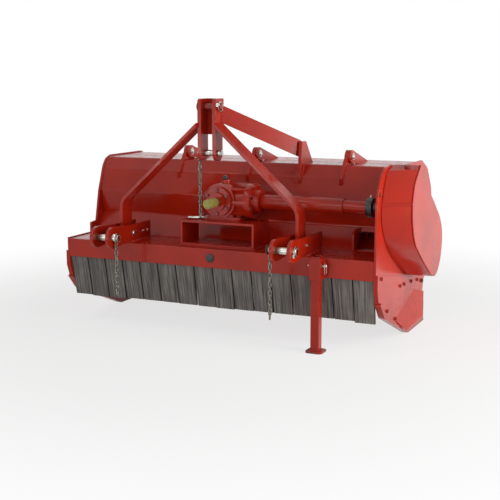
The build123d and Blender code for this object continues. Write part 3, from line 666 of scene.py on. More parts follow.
@dataclass
class Fasteners:
    """Hexagon bolts with washers on the skids, side plates, clevises, gearbox, bearing and belt housing."""

    shop: Workshop
    thread: float = 12.0 * MM
    corner_r: float = 10.6 * MM
    head_h: float = 7.5 * MM
    chamfer: float = 1.3 * MM
    crown: float = 0.8 * MM
    washer_r: float = 12.4 * MM
    washer_t: float = 2.4 * MM
    outside_x: float = 0.9
    ahead_y: float = -0.5
    beside_x: float = 0.3
    over_feet: float = 0.53
    skid_thread: float = 8.0
    rear_thread: float = 10.0
    gear_thread: float = 9.0
    skid_turn: float = 23.0
    rear_turn: float = 9.0
    plate_turn: float = 17.0
    clevis_turn: float = 10.0
    foot_turn: float = 14.0
    flange_ring: tuple[int, float] = (6, 30.0)
    output_ring: tuple[int, float] = (8, 22.5)
    bearing_ring: tuple[int, float] = (4, 45.0)
    skid_bolts: tuple[Pair, ...] = (
        (-0.290, 0.306), (-0.204, 0.158), (-0.087, 0.100), (-0.024, 0.227),
        (0.036, 0.224), (0.145, 0.216), (0.242, 0.205),
    )
    skid_rear_bolt: Pair = (0.312, 0.188)
    plate_bolts: tuple[Pair, ...] = ((-0.311, 0.642), (-0.140, 0.398))
    clevis_bolts: tuple[tuple[str, Point, float], ...] = (
        ("lower_clevis_left", (-0.35, -0.287, 0.419), 11.0),
        ("lower_clevis_left", (-0.35, -0.207, 0.416), 7.0),
        ("lower_clevis_left", (-0.35, -0.170, 0.415), 7.0),
        ("lower_clevis_right", (0.48, -0.319, 0.424), 7.0),
    )
    gear_axis: Pair = (-0.055, 0.570)
    cross_y: float = -0.163
    flange_circle: float = 0.051
    output_circle: float = 0.067
    foot_reach: Pair = (0.085, 0.048)
    bearing_axis: Pair = (0.150, 0.325)
    bearing_circle: float = 0.0665

    def pattern(self) -> Piece:
        """Models one bolt head on its washer, upright at the origin.

        Returns:
            The bolt.
        """
        washer = cut(
            Stock.ROD, vertices=20, radius=self.washer_r, depth=self.washer_t,
            location=(0, 0, self.washer_t / 2),
        )
        with shaping(washer):
            pick(washer, is_top)
            bpy.ops.mesh.inset(thickness=self.washer_t / 4)
            shift(0, 0, self.washer_t / 5)
        head = cut(
            Stock.ROD, vertices=6, radius=self.corner_r, depth=self.head_h,
            location=(0, 0, self.washer_t + self.head_h / 2),
        )
        with shaping(head):
            pick(head, is_top)
            bpy.ops.mesh.inset(thickness=self.chamfer)
            shift(0, 0, self.crown)
            bpy.ops.mesh.inset(thickness=self.chamfer)
        return join([head, washer])

    def bolt(self, name: str, coat: Coat, places: list[Matrix]) -> None:
        """Sets one group of bolts.

        Args:
            name: The group's name.
            coat: Its finish.
            places: Where each bolt sits.
        """
        self.shop.hand_over(copies(self.pattern(), places), name, coat)

    def sized(self, millimetres: float) -> float:
        """Gives the scale for a thread size."""
        return millimetres * MM / self.thread

    def circle(self, radius: float, count: int, first: float) -> Iterator[tuple[float, float, float]]:
        """Spreads bolts on a circle.

        Args:
            radius: The circle's radius.
            count: How many.
            first: The first one's angle in degrees.

        Yields:
            The two offsets from the circle's centre, and the angle.
        """
        for index in range(count):
            angle = first + 360 * index / count
            yield radius * math.cos(math.radians(angle)), radius * math.sin(math.radians(angle)), angle

    def build(self) -> None:
        """Sets every group."""
        small = self.sized(self.skid_thread)
        medium = self.sized(self.gear_thread)
        for side, way in (("right", -1.0), ("left", 1.0)):
            start = -way * self.outside_x
            outer = [
                seat(f"{side}_skid", (start, y, z), (way, 0, 0), self.skid_turn * index, small)
                for index, (y, z) in enumerate(self.skid_bolts)
            ]
            self.bolt(f"{side}_skid_bolts", Coat.BOLT, outer)
            y, z = self.skid_rear_bolt
            large = self.sized(self.rear_thread)
            rear = seat(f"{side}_skid", (start, y, z), (way, 0, 0), self.rear_turn, large)
            self.bolt(f"{side}_skid_rear_bolt", Coat.FORGED, [rear])
        plate = [
            seat("right_side_plate", (self.outside_x, y, z), (-1, 0, 0), self.plate_turn * index, small)
            for index, (y, z) in enumerate(self.plate_bolts)
        ]
        self.bolt("side_plate_bolts", Coat.BOLT, plate)
        clevis = [
            seat(node, start, (-1, 0, 0), self.clevis_turn, self.sized(thread))
            for node, start, thread in self.clevis_bolts
        ]
        self.bolt("clevis_bolts", Coat.ZINC, clevis)
        x, z = self.gear_axis
        flange = [
            seat("gearbox", (x + a, self.ahead_y, z + b), (0, 1, 0), turn, medium)
            for a, b, turn in self.circle(self.flange_circle, *self.flange_ring)
        ]
        output = [
            seat("gearbox", (self.beside_x, self.cross_y + a, z + b), (-1, 0, 0), turn, medium)
            for a, b, turn in self.circle(self.output_circle, *self.output_ring)
        ]
        reach_x, reach_y = self.foot_reach
        feet = [
            seat(
                "gearbox", (x + i * reach_x, self.cross_y + j * reach_y, self.over_feet), (0, 0, -1),
                self.foot_turn,
            )
            for i in (-1, 1) for j in (-1, 1)
        ]
        self.bolt("gearbox_bolts", Coat.BOLT, flange + output + feet)
        y, z = self.bearing_axis
        bearing = [
            seat("left_bearing", (-self.outside_x, y + a, z + b), (1, 0, 0), turn, medium)
            for a, b, turn in self.circle(self.bearing_circle, *self.bearing_ring)
        ]
        self.bolt("bearing_bolts", Coat.ZINC, bearing)


@dataclass
class HitchHardware:
    """Linch pins with spring rings, pin collars and the round-link safety chains of the hitch."""

    shop: Workshop
    ring_r: float = 19.5 * MM
    wire_r: float = 2.0 * MM
    ring_pull: float = 1.14
    pin_r: float = 4.6 * MM
    pin_l: float = 46.0 * MM
    pin_tip: float = 4.0 * MM
    tip_share: float = 0.5
    head_r: float = 8.0 * MM
    head_l: float = 9.0 * MM
    link_r: float = 5.5 * MM
    link_wire_r: float = 2.5 * MM
    link_pull: float = 14.6 * MM
    link_pitch: float = 18.4 * MM
    rings: tuple[tuple[Point, float], ...] = (
        ((-0.4225, -0.455, 0.420), 62.0),
        ((0.3888, -0.455, 0.420), 118.0),
        ((-0.0250, -0.267, 0.970), 75.0),
    )
    collars: tuple[tuple[Point, float], ...] = (
        ((0.2705, -0.455, 0.420), 14.0 * MM),
        ((-0.5405, -0.455, 0.420), 14.0 * MM),
        ((-0.1275, -0.267, 0.970), 12.75 * MM),
    )
    collar_wire: float = 1.9
    collar_flat: float = 0.8
    loose_pull: float = 1.5
    link_sway: float = 8.0
    loose_pin: tuple[Point, Point] = ((-0.202, -0.261, 0.490), (-0.104, -0.218, 0.490))
    chain_links: dict[str, int] = field(
        default_factory=lambda: {"chain_mast": 14, "chain_left": 12, "chain_right": 14}
    )

    def linch_pin(self) -> Piece:
        """Models one linch pin at the origin: its pin along Y, its spring ring round the Z axis.

        Returns:
            The linch pin.
        """
        ring = cut(
            Stock.RING, major_radius=self.ring_r, minor_radius=self.wire_r, major_segments=32,
            minor_segments=8,
        )
        with shaping(ring):
            take_all()
            stretch(1.0, self.ring_pull, 1.0)
        pin = cut(Stock.ROD, vertices=16, radius=self.pin_r, depth=self.pin_l, rotation=LYING)
        with shaping(pin):
            pick(pin, lambda centre, normal: normal.y < -SQUARE_ON)
            pull(0, -self.pin_tip, 0)
            stretch(self.tip_share, 1.0, self.tip_share)
            pick(pin, lambda centre, normal: normal.y > SQUARE_ON)
            pull(0, self.wire_r / 4, 0)
            grow = self.head_r / self.pin_r
            stretch(grow, 1.0, grow)
            pull(0, self.head_l, 0)
            bpy.ops.mesh.inset(thickness=self.wire_r)
            shift(0, self.wire_r / 2, 0)
        return join([pin, ring])

    def link(self) -> Piece:
        """Models one upright chain link at the origin: a wire ring pulled long.

        Returns:
            The link.
        """
        link = cut(
            Stock.RING, major_radius=self.link_r, minor_radius=self.link_wire_r, major_segments=16,
            minor_segments=8, rotation=LYING,
        )
        with shaping(link):
            pick(link, lambda centre, normal: centre.z > 0)
            shift(0, 0, self.link_pull)
            take_all()
            shift(0, 0, -self.link_pull / 2)
        return link

    def build(self) -> None:
        """Adds pins, collars and chains."""
        facing = (1.0, 0.0, 0.0)
        spots = [place(at, facing, turn) for at, turn in self.rings]
        start, end = (Vector(point) for point in self.loose_pin)
        along = (end - start).normalized()
        lying = Matrix.Translation((start + end) / 2 + Vector((0, 0, self.head_r)))
        swing = along.to_track_quat("Y", "Z").to_matrix().to_4x4()
        spots.append(lying @ swing @ Matrix.Scale(self.loose_pull, 4, (0, 1, 0)))
        self.shop.hand_over(copies(self.linch_pin(), spots), "linch_pins", Coat.ZINC)
        collars = []
        for at, bore in self.collars:
            collar = cut(
                Stock.RING, major_radius=bore + self.wire_r, minor_radius=self.wire_r * self.collar_wire,
                major_segments=28, minor_segments=10,
            )
            with shaping(collar):
                take_all()
                stretch(1.0, 1.0, self.collar_flat)
            collar.data.transform(place(at, facing))
            collars.append(collar)
        self.shop.hand_over(join(collars), "pin_collars", Coat.FORGED)
        for node, count in self.chain_links.items():
            low, high = (Vector(corner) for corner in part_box(node))
            middle = (low + high) / 2
            top = high.z - self.link_r - self.link_wire_r - self.link_pull / 2
            links = [
                Matrix.Translation((middle.x, middle.y, top - index * self.link_pitch))
                @ Matrix.Rotation(math.radians(90 * (index % 2) + self.link_sway * math.sin(index)), 4, "Z")
                for index in range(count)
            ]
            joined = copies(self.link(), links)
            chain = self.shop.hand_over(joined, f"{node}_links", Coat.CHAIN, smooth=60.0)
            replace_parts(chain, node)


@dataclass
class FlapCurtain:
    """Sixteen cut rubber flaps under the beam, each hanging a little differently."""

    shop: Workshop
    count: int = 16
    gap: float = 3.0 * MM
    slit: float = 2.6 * MM
    thick: float = 10.0 * MM
    length: float = 184.0 * MM
    lean: float = 12.0
    edge: float = 1.2 * MM
    across: int = 8
    down: int = 14
    seed: int = 31
    narrowing: Pair = (0.0, 1.0)
    lean_play: Pair = (-1.1, 1.1)
    curl: Pair = (-3.0, 5.0)
    trim: Pair = (0.0, 4.0)
    bow: Pair = (-1.0, 2.0)

    def flap(self, width: float, lean: float, curl: float, trim: float, bow: float) -> Piece:
        """Models one flap hanging from the origin, the middle of its thickness on the XZ plane.

        Args:
            width: Its width.
            lean: Degrees that it leans back.
            curl: How far its lower edge curls forward.
            trim: How much shorter than the longest it is.
            bow: How far its middle stands forward.

        Returns:
            The flap.
        """
        flap = cut(
            Stock.SHEET, x_subdivisions=self.across, y_subdivisions=self.down, size=1.0, rotation=LYING
        )
        with shaping(flap):
            take_all()
            stretch(width, 1.0, self.length - trim)
            shift(0, 0, -(self.length - trim) / 2)
        for vertex in flap.data.vertices:
            share = -vertex.co.z / self.length
            side = 2 * vertex.co.x / width
            vertex.co.y -= curl * share ** 3 + bow * (1 - side ** 2) * share
        refine(flap, "SOLIDIFY", thickness=self.thick, offset=0.0)
        round_edges(flap, self.edge)
        flap.data.transform(Matrix.Rotation(math.radians(lean), 4, "X"))
        return flap

    def build(self) -> None:
        """Hangs the flaps and replaces the plain ones."""
        low, high = (Vector(corner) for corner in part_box("front_flaps"))
        dice = random.Random(self.seed)
        pitch = (high.x - low.x + self.gap) / self.count
        flaps = []
        for index in range(self.count):
            flap = self.flap(
                pitch - self.slit - dice.uniform(*self.narrowing) * MM,
                self.lean + dice.uniform(*self.lean_play),
                dice.uniform(*self.curl) * MM,
                dice.uniform(*self.trim) * MM,
                dice.uniform(*self.bow) * MM,
            )
            middle = low.x + (index + 0.5) * pitch - self.gap / 2
            flap.data.transform(Matrix.Translation((middle, low.y + self.thick / 2, high.z)))
            flaps.append(flap)
        curtain = self.shop.hand_over(join(flaps), "flap_curtain", Coat.RUBBER)
        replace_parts(curtain, "front_flaps")


@dataclass
class DriveCap:
    """Ribbed plastic sleeve over the drive shaft stub, closed at its front."""

    shop: Workshop
    core_share: float = 0.93
    ribs: int = 9
    rib_share: float = 0.5
    back_rim: float = 0.05
    rim_angle: float = 60.0
    edge: float = 0.9 * MM

    def build(self) -> None:
        """Models the cap where the plain one is, and replaces it."""
        low, high = (Vector(corner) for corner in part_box("pto_cap"))
        middle = (low + high) / 2
        radius = (high.x - low.x) / 2
        length = high.y - low.y
        core = cut(
            Stock.ROD, vertices=40, radius=radius * self.core_share, depth=length, location=middle,
            rotation=LYING,
        )
        with shaping(core):
            pick(core, lambda centre, normal: normal.y < -SQUARE_ON)
            bpy.ops.mesh.inset(thickness=3 * self.edge)
            pull(0, 2 * self.edge, 0)
            pick(core, lambda centre, normal: normal.y > SQUARE_ON)
            bpy.ops.mesh.inset(thickness=radius * self.core_share * self.back_rim)
        rib = cut(
            Stock.ROD, vertices=40, radius=radius, depth=length / self.ribs * self.rib_share,
            rotation=LYING,
        )
        with shaping(rib):
            pick(rib, lambda centre, normal: abs(normal.y) > SQUARE_ON)
            bpy.ops.mesh.inset(thickness=self.edge)
            bpy.ops.mesh.select_all(action="DESELECT")
        round_edges(rib, self.edge, self.rim_angle)
        spots = [
            Matrix.Translation((middle.x, low.y + (index + 0.5) * length / self.ribs, middle.z))
            for index in range(self.ribs)
        ]
        cap = self.shop.hand_over(join([core, copies(rib, spots)]), "ribbed_cap", Coat.PLASTIC, "pto")
        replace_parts(cap, "pto_cap")


@dataclass(frozen=True)
class GuardCorner:
    """One corner of the belt guard: (Y, Z) on the side plate and on the cover, in millimetres."""

    plate: Pair
    cover: Pair
    sharp: bool = False


@dataclass
class BeltGuard:
    """Belt housing and cover: a bent strip with its seam and plug, closed by a flat side."""

    shop: Workshop
    plate_x: float = 679.0
    cover_x: float = 787.0
    cover_t: float = 5.0 * MM
    smooth: int = 6
    crease_r: float = 5.0 * MM
    rim_r: float = 2.0 * MM
    seam_r: float = 5.0 * MM
    seam_corner: int = 2
    crease_angle: float = 17.0
    seam_smooth: float = 40.0
    plug_turn: float = 11.0
    plug_thread: float = 14.0
    plug_at: Point = (0.742, -0.150, 1.0)
    corners: tuple[GuardCorner, ...] = (
        GuardCorner((-221, 726), (-152, 726), True),
        GuardCorner((-262, 662), (-209, 675)),
        GuardCorner((-285, 598), (-237, 602), True),
        GuardCorner((-286, 545), (-229, 530)),
        GuardCorner((-255, 475), (-190, 448)),
        GuardCorner((-171, 393), (-104, 379)),
        GuardCorner((57, 262), (88, 262), True),
        GuardCorner((150, 246), (142, 248)),
        GuardCorner((215, 274), (203, 276)),
        GuardCorner((258, 350), (246, 350)),
        GuardCorner((260, 430), (248, 426)),
        GuardCorner((222, 498), (210, 487)),
        GuardCorner((150, 556), (139, 544)),
        GuardCorner((5, 652), (5, 638)),
        GuardCorner((-138, 745), (-126, 748), True),
    )

    def outline(self, x: float, points: list[Pair]) -> Piece:
        """Draws one closed outline as a loop of edges.

        Args:
            x: Its place along X, in millimetres.
            points: Its corners, in millimetres.

        Returns:
            The loop.
        """
        bpy.ops.object.select_all(action="DESELECT")
        bpy.ops.curve.primitive_bezier_circle_add()
        loop = bpy.context.object
        loop.data.resolution_u = self.smooth
        loop.data.splines.clear()
        spline = loop.data.splines.new("BEZIER")
        spline.bezier_points.add(len(points) - 1)
        spline.use_cyclic_u = True
        for knot, corner, (y, z) in zip(spline.bezier_points, self.corners, points):
            knot.co = Vector((x, y, z)) * MM
            knot.handle_left_type = knot.handle_right_type = "VECTOR" if corner.sharp else "AUTO"
        bpy.ops.object.convert(target="MESH")
        return bpy.context.object

    def seam(self) -> Piece:
        """Models the raised seam across the strip's front, at its sharp corner.

        Returns:
            The seam.
        """
        knee = self.corners[self.seam_corner]
        start = Vector((self.plate_x, *knee.plate)) * MM
        end = Vector((self.cover_x, *knee.cover)) * MM
        seam = cut(Stock.ROD, vertices=16, radius=self.seam_r, depth=(end - start).length)
        with shaping(seam):
            pick(seam, is_end)
            bpy.ops.mesh.inset(thickness=self.seam_r / 3, use_individual=True)
        seam.data.transform(place(tuple((start + end) / 2), tuple(end - start)))
        return seam

    def build(self) -> None:
        """Models the strip, its seam and the cover, and seats the plug."""
        on_cover = [corner.cover for corner in self.corners]
        strip = join([
            self.outline(self.plate_x, [corner.plate for corner in self.corners]),
            self.outline(self.cover_x, on_cover),
        ])
        with shaping(strip):
            bpy.ops.mesh.select_mode(type="EDGE")
            take_all()
            bpy.ops.mesh.bridge_edge_loops()
            take_all()
            bpy.ops.mesh.fill_holes(sides=0)
            face_out()
        round_edges(strip, self.crease_r, self.crease_angle, 3)
        plug = Fasteners(self.shop)
        _, spot, normal, _ = strip.ray_cast(Vector(self.plug_at), Vector((0, 0, -1)))
        seated = place(tuple(spot), tuple(normal), self.plug_turn, plug.sized(self.plug_thread))
        plug.bolt("belt_plug", Coat.BOLT, [seated])
        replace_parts(self.shop.hand_over(strip, "belt_strip", Coat.RED, smooth=14.0), "belt_housing")
        self.shop.hand_over(self.seam(), "belt_seam", Coat.RED, smooth=self.seam_smooth)
        cover = self.outline(self.cover_x, on_cover)
        with shaping(cover):
            take_all()
            bpy.ops.mesh.edge_face_add()
            take_all()
            pull(self.cover_t, 0, 0)
            face_out()
        round_edges(cover, self.rim_r)
        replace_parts(self.shop.hand_over(cover, "belt_side", Coat.RED, smooth=14.0), "belt_cover")


@dataclass
class SkidFlares:
    """Folded panels at the rear foot of both skids, leaning out from a slanting fold."""

    shop: Workshop
    skid_x: Pair = (687.0, -766.0)
    lean: Pair = (1.0, 0.55)
    edge: float = 2.0 * MM
    root: float = 6.0
    fold_angle: float = 30.0
    corners: tuple[Point, ...] = (
        (0, 183, 174), (18, 296, 145), (46, 190, 58), (24, 4, 33), (0, -98, 98),
    )

    def build(self) -> None:
        """Models one panel for each skid from a five-sided plate."""
        for side, at, lean in zip((1, -1), self.skid_x, self.lean):
            panel = cut(Stock.DISC, vertices=len(self.corners), fill_type="NGON")
            for vertex, (out, y, z) in zip(panel.data.vertices, self.corners):
                vertex.co = Vector((at + side * lean * out, y, z)) * MM
            with shaping(panel):
                take_all()
                pull(-side * self.root * MM, 0, 0)
                stretch(0.0, 1.0, 1.0, ((at - side * self.root) * MM, 0, 0))
                face_out()
            round_edges(panel, self.edge, self.fold_angle)
            name = "right_flare" if side > 0 else "left_flare"
            self.shop.hand_over(panel, name, Coat.RED, smooth=14.0)


@dataclass(frozen=True)
class WeldRun:
    """A bead along a straight line from one point to another, in millimetres."""

    start: Point
    end: Point


@dataclass(frozen=True)
class HoodRun:
    """A bead over the hood's skin at one place along X, between two along Y, in millimetres."""

    x: float
    y_from: float
    y_to: float


@dataclass
class WeldBeads:
    """Rippled, painted weld beads at the feet of the headstock, stool, stand, hood, ears and plates."""

    shop: Workshop
    bead_r: float = 4.2 * MM
    step: float = 5.5 * MM
    squeeze: float = 0.85
    seed: int = 7
    above: float = 1.2
    clevis_x: Row = (-532.5, -442.5, 292.5, 382.5)
    bar_x: Row = (-494.5, -480.5, 330.5, 344.5)
    ear_x: Row = (-344.0, -3.0, 428.0)
    ear_half: float = 7.5
    lug_x: Pair = (233.0, 248.0)
    rim_x: Pair = (-747.0, 668.0)
    beam_top: float = 382.0
    clevis_y: Pair = (-332, -148)
    bar_y: Pair = (-314, -240)
    stool_y: Pair = (-286, -136)
    stool_x: Pair = (-212, 133)
    ear_y: Pair = (-48, 86)
    rim_y: Pair = (-68, 112)
    ripple: Pair = (0.85, 1.12)
    single: tuple[WeldRun, ...] = (
        WeldRun((416.6, -337, 304), (416.6, -337, 380)),
        WeldRun((465.4, -337, 304), (465.4, -337, 380)),
        WeldRun((-208, -288, 382), (129, -288, 382)),
        WeldRun((-740, -126.5, 382), (661, -126.5, 382)),
        WeldRun((-33, -246, 910), (-33, -246, 972)),
    )

    def runs(self) -> list[WeldRun | HoodRun]:
        """Lists the beads.

        Returns:
            The runs, in the order in which they are laid.
        """
        top = self.beam_top
        runs: list[WeldRun | HoodRun] = []
        groups = ((self.clevis_x, self.clevis_y), (self.bar_x, self.bar_y), (self.stool_x, self.stool_y))
        for places, (front, rear) in groups:
            runs += [WeldRun((x, front, top), (x, rear, top)) for x in places]
        runs += self.single
        for x in self.ear_x:
            runs += [HoodRun(x + side * self.ear_half, *self.ear_y) for side in (-1, 1)]
        runs += [HoodRun(x, *self.ear_y) for x in self.lug_x]
        runs += [HoodRun(x, *self.rim_y) for x in self.rim_x]
        return runs

    def points(self, run: WeldRun | HoodRun) -> list[tuple[Vector, Vector]]:
        """Spaces beads evenly along one run.

        Args:
            run: The run.

        Returns:
            Each bead's place and the run's direction there.
        """
        if isinstance(run, WeldRun):
            line = [Vector(run.start) * MM, Vector(run.end) * MM]
        else:
            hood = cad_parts["hood"]
            count = max(2, round((run.y_to - run.y_from) * MM / self.step))
            line = []
            for index in range(count + 1):
                y = (run.y_from + (run.y_to - run.y_from) * index / count) * MM
                hit, spot, _, _ = hood.ray_cast(Vector((run.x * MM, y, self.above)), Vector((0, 0, -1)))
                if hit:
                    line.append(spot)
        spots = []
        for first, second in zip(line, line[1:]):
            way = second - first
            count = max(1, round(way.length / self.step))
            spots += [(first + way * (index / count), way.normalized()) for index in range(count)]
        return spots

    def build(self) -> None:
        """Models one ripple and lays it along every run."""
        ripple = cut(Stock.BALL, segments=8, ring_count=5, radius=self.bead_r)
        with shaping(ripple):
            take_all()
            stretch(1.0, 1.0, self.squeeze)
        dice = random.Random(self.seed)
        places = [
            Matrix.Translation(spot) @ way.to_track_quat("Z", "Y").to_matrix().to_4x4()
            @ Matrix.Scale(dice.uniform(*self.ripple), 4)
            for run in self.runs() for spot, way in self.points(run)
        ]
        self.shop.hand_over(copies(ripple, places), "weld_beads", Coat.RED, smooth=80.0)


@dataclass
class StandPin:
    """The pin that holds the parking leg in its sleeve: a head on one side, a spring clip on the other."""

    shop: Workshop
    pin_r: float = 6.0 * MM
    out: float = 20.0 * MM
    height: float = 0.353
    clip_r: float = 11.0 * MM
    wire_r: float = 1.8 * MM
    tip: float = 2.0 * MM
    short_end: float = 0.6
    clip_share: float = 0.65

    def stub(self) -> Piece:
        """Models the end of the pin that stands out, upright at the origin.

        Returns:
            The end.
        """
        stub = cut(Stock.ROD, vertices=18, radius=self.pin_r, depth=self.out, location=(0, 0, self.out / 2))
        with shaping(stub):
            pick(stub, is_top)
            bpy.ops.mesh.inset(thickness=self.tip)
            shift(0, 0, self.tip / 2)
        return stub

    def build(self) -> None:
        """Adds both ends of the pin and the clip."""
        low, high = (Vector(corner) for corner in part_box("stand_sleeve"))
        y = (low.y + high.y) / 2
        right = place((high.x, y, self.height), (1, 0, 0))
        left = place((low.x, y, self.height), (-1, 0, 0), 0.0, self.short_end)
        ends = copies(self.stub(), [right, left])
        clip = cut(
            Stock.RING, major_radius=self.clip_r, minor_radius=self.wire_r, major_segments=28,
            minor_segments=8,
        )
        with shaping(clip):
            pick(clip, lambda centre, normal: centre.y < 0)
            shift(0, -2 * self.clip_r, 0)
        clip.data.transform(place((high.x + self.out * self.clip_share, y, self.height), (1, 0, 0)))
        self.shop.hand_over(join([ends, clip]), "stand_pin", Coat.ZINC)


@dataclass
class SmallParts:
    """A plug in the beam, the gearbox breather, grease nipples and washers on the hinge pins."""

    shop: Workshop
    plug_at: Point = (-0.045, -0.5, 0.344)
    plug_r: float = 19.0 * MM
    plug_t: float = 5.0 * MM
    plug_waist: float = 0.8
    breather_at: Point = (-0.055, -0.163, 0.9)
    breather_r: float = 13.0 * MM
    breather_h: float = 16.0 * MM
    breather_waist: float = 0.7
    nipple_r: float = 4.5 * MM
    nipple_h: float = 11.0 * MM
    nipple_waist: float = 0.55
    washer_r: float = 16.5 * MM
    washer_t: float = 3.0 * MM
    hinge: Pair = (0.040, 0.756)
    ear_x: Row = (-0.344, -0.003, 0.428)
    inner_gap: float = -9.1 * MM
    outer_gap: float = 22.4 * MM
    nipples: tuple[tuple[str, Point], ...] = (
        ("left_bearing", (-0.780, 0.150, 0.6)), ("cross_collar", (0.598, -0.163, 0.9)),
    )
    base_share: float = 0.6
    dome_share: float = 0.3
    crown_share: float = 0.06
    rim_share: float = 0.08

    def button(self, radius: float, height: float, waist: float) -> Piece:
        """Models a round stepped button, upright at the origin.

        Args:
            radius: Its widest radius.
            height: Its height.
            waist: The top's radius as a share of the widest.

        Returns:
            The button.
        """
        base = height * self.base_share
        button = cut(Stock.ROD, vertices=28, radius=radius, depth=base, location=(0, 0, base / 2))
        with shaping(button):
            pick(button, is_top)
            bpy.ops.mesh.inset(thickness=radius * (1 - waist))
            pull(0, 0, height - base)
            bpy.ops.mesh.inset(thickness=radius * waist * self.dome_share)
            shift(0, 0, height * self.crown_share)
        round_edges(button, height * self.rim_share)
        return button

    def build(self) -> None:
        """Adds the small parts."""
        down = (0, 0, -1)
        button = self.button(self.plug_r, self.plug_t, self.plug_waist)
        plug = copies(button, [seat("front_beam", self.plug_at, (0, 1, 0))])
        self.shop.hand_over(plug, "beam_plug", Coat.BLACK)
        cap = self.button(self.breather_r, self.breather_h, self.breather_waist)
        breather = copies(cap, [seat("gearbox", self.breather_at, down)])
        self.shop.hand_over(breather, "gearbox_breather", Coat.BLACK)
        nipple = self.button(self.nipple_r, self.nipple_h, self.nipple_waist)
        nipples = copies(nipple, [seat(node, start, down) for node, start in self.nipples])
        self.shop.hand_over(nipples, "grease_nipples", Coat.ZINC)
        washer = cut(Stock.ROD, vertices=28, radius=self.washer_r, depth=self.washer_t)
        with shaping(washer):
            pick(washer, is_end)
            bpy.ops.mesh.inset(thickness=self.washer_t / 3, use_individual=True)
        round_edges(washer, self.washer_t / 5)
        y, z = self.hinge
        gaps = (self.inner_gap, self.outer_gap)
        spots = [place((x + gap, y, z), (1, 0, 0)) for x in self.ear_x for gap in gaps]
        self.shop.hand_over(copies(washer, spots), "hinge_washers", Coat.ZINC)


@dataclass(frozen=True)
class Softbox:
    """One lamp: where it hangs, the point that it faces, its width and height, and its watts."""

    name: str
    at: Point
    aim: Point
    size: Pair
    watts: float


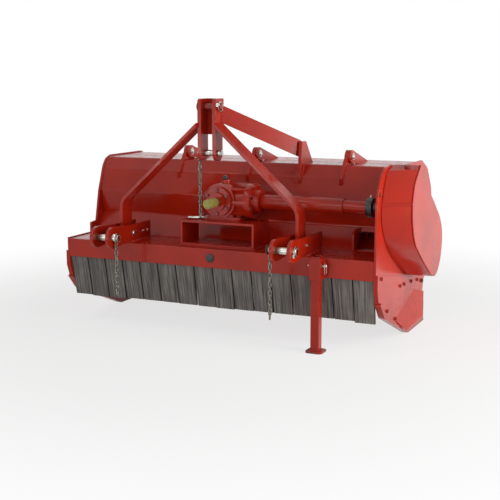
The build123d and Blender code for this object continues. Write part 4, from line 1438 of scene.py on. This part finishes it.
@dataclass
class Studio:
    """Pale floor, soft lamps and the camera at the photograph's place."""

    camera_at: Point = (1.8499, -4.0751, 1.1124)
    azimuth: float = 24.59
    elevation: float = 9.95
    roll: float = -0.12
    lens_mm: float = 73.17
    sensor_mm: float = 36.0
    floor_side: float = 60.0
    white: str = "#FFFFFF"
    floor_colour: str = "#F4F4F2"
    floor_roughness: float = 0.9
    floor_reach: Pair = (0.9, 2.6)
    floor_white: Pair = (0.72, 1.0)
    ambient: float = 0.22
    lamps: tuple[Softbox, ...] = (
        Softbox("side_softbox", (3.6, -0.2, 1.3), (0.3, 0.0, 0.5), (2.2, 2.2), 90.0),
        Softbox("edge_strip", (3.32, -1.70, 0.56), (0.2, -0.05, 0.8), (0.3, 0.6), 8.5),
        Softbox("front_fill", (0.9, -4.2, 2.0), (0.0, 0.0, 0.5), (2.0, 1.0), 17.0),
        Softbox("low_strip", (-1.6, -4.0, 0.40), (0.0, 0.0, 0.5), (2.4, 0.25), 14.0),
        Softbox("fold_strip", (-1.6, -2.4, 3.4), (0.0, 0.0, 0.6), (2.2, 0.25), 12.0),
    )

    def build(self) -> None:
        """Adds the floor, the world, the lamps and the camera."""
        self.add_floor()
        self.add_world()
        for lamp in self.lamps:
            self.add_lamp(lamp)
        self.add_camera()
        bpy.context.scene.view_settings.view_transform = "Standard"

    def background_rays(self, tree: Tree) -> bpy.types.Node:
        """Gives 1 for rays that show the background and 0 for rays that light the object.

        Args:
            tree: Node tree that takes the nodes.

        Returns:
            The node that gives the factor.
        """
        rays = add_node(tree, Kind.RAYS).outputs
        bent = (rays["Is Glossy Ray"], rays["Is Transmission Ray"])
        mirrored = add_node(tree, Kind.MATH, bent, operation="MAXIMUM")
        return add_node(tree, Kind.MATH, (rays["Is Camera Ray"], mirrored), operation="MAXIMUM")

    def add_floor(self) -> None:
        """Adds the floor: pale paper that keeps a soft shadow near the machine, plain white further out."""
        floor = cut(Stock.PLANE, size=self.floor_side)
        floor.name = "studio_floor"
        material, tree, principled, where = shader("floor_paper")
        paper = linear(self.floor_colour)
        feed(tree, principled, {
            "Base Color": paper, "Roughness": self.floor_roughness, "Specular IOR Level": 0.0,
        })
        away = add_node(tree, Kind.LENGTH, (where,), operation="LENGTH")
        far = add_node(tree, Kind.BAND, (away, *self.floor_reach, *self.floor_white), **SOFT)
        plain = add_node(tree, Kind.MATH, (self.background_rays(tree), far), operation="MULTIPLY")
        white = add_node(tree, Kind.GLOW, {"Color": linear(self.white), "Strength": 1.0})
        blend = add_node(tree, Kind.BLEND, (plain, principled, white))
        feed(tree, tree.nodes["Material Output"], {"Surface": blend})
        floor.data.materials.append(material)

    def add_world(self) -> None:
        """Adds an even pale surround that the camera sees as white."""
        world = bpy.data.worlds.new("studio_surround")
        world.use_nodes = True
        tree = world.node_tree
        levels = (self.background_rays(tree), 0.0, 1.0, self.ambient, 1.0)
        strength = add_node(tree, Kind.BAND, levels, **SOFT)
        feed(tree, tree.nodes["Background"], {"Color": linear(self.white), "Strength": strength})
        bpy.context.scene.world = world

    def add_lamp(self, box: Softbox) -> None:
        """Hangs one softbox.

        Args:
            box: The lamp.
        """
        data = bpy.data.lights.new(box.name, "AREA")
        data.shape = "RECTANGLE"
        data.size, data.size_y = box.size
        data.energy = box.watts
        lamp = bpy.data.objects.new(box.name, data)
        lamp.location = box.at
        lamp.rotation_euler = (Vector(box.aim) - Vector(box.at)).to_track_quat("-Z", "Y").to_euler()
        bpy.context.scene.collection.objects.link(lamp)

    def add_camera(self) -> None:
        """Adds the camera at the photograph's viewing angle."""
        data = bpy.data.cameras.new("camera")
        data.lens = self.lens_mm
        data.sensor_width = self.sensor_mm
        camera = bpy.data.objects.new("camera", data)
        camera.location = self.camera_at
        turn = Matrix.Rotation(math.radians(self.azimuth), 4, "Z")
        tilt = Matrix.Rotation(math.radians(90 - self.elevation), 4, "X")
        lean = Matrix.Rotation(math.radians(self.roll), 4, "Z")
        camera.rotation_euler = (turn @ tilt @ lean).to_euler()
        bpy.context.scene.collection.objects.link(camera)
        bpy.context.scene.camera = camera


def main() -> None:
    """Builds the looks in order."""
    logging.basicConfig(level=logging.INFO)
    shop = Workshop()
    assemblies = (
        Fasteners, HitchHardware, FlapCurtain, DriveCap, BeltGuard,
        SkidFlares, WeldBeads, StandPin, SmallParts,
    )
    for assembly in assemblies:
        assembly(shop).build()
    shop.dress()
    Studio().build()


if __name__ == "__main__":
    main()
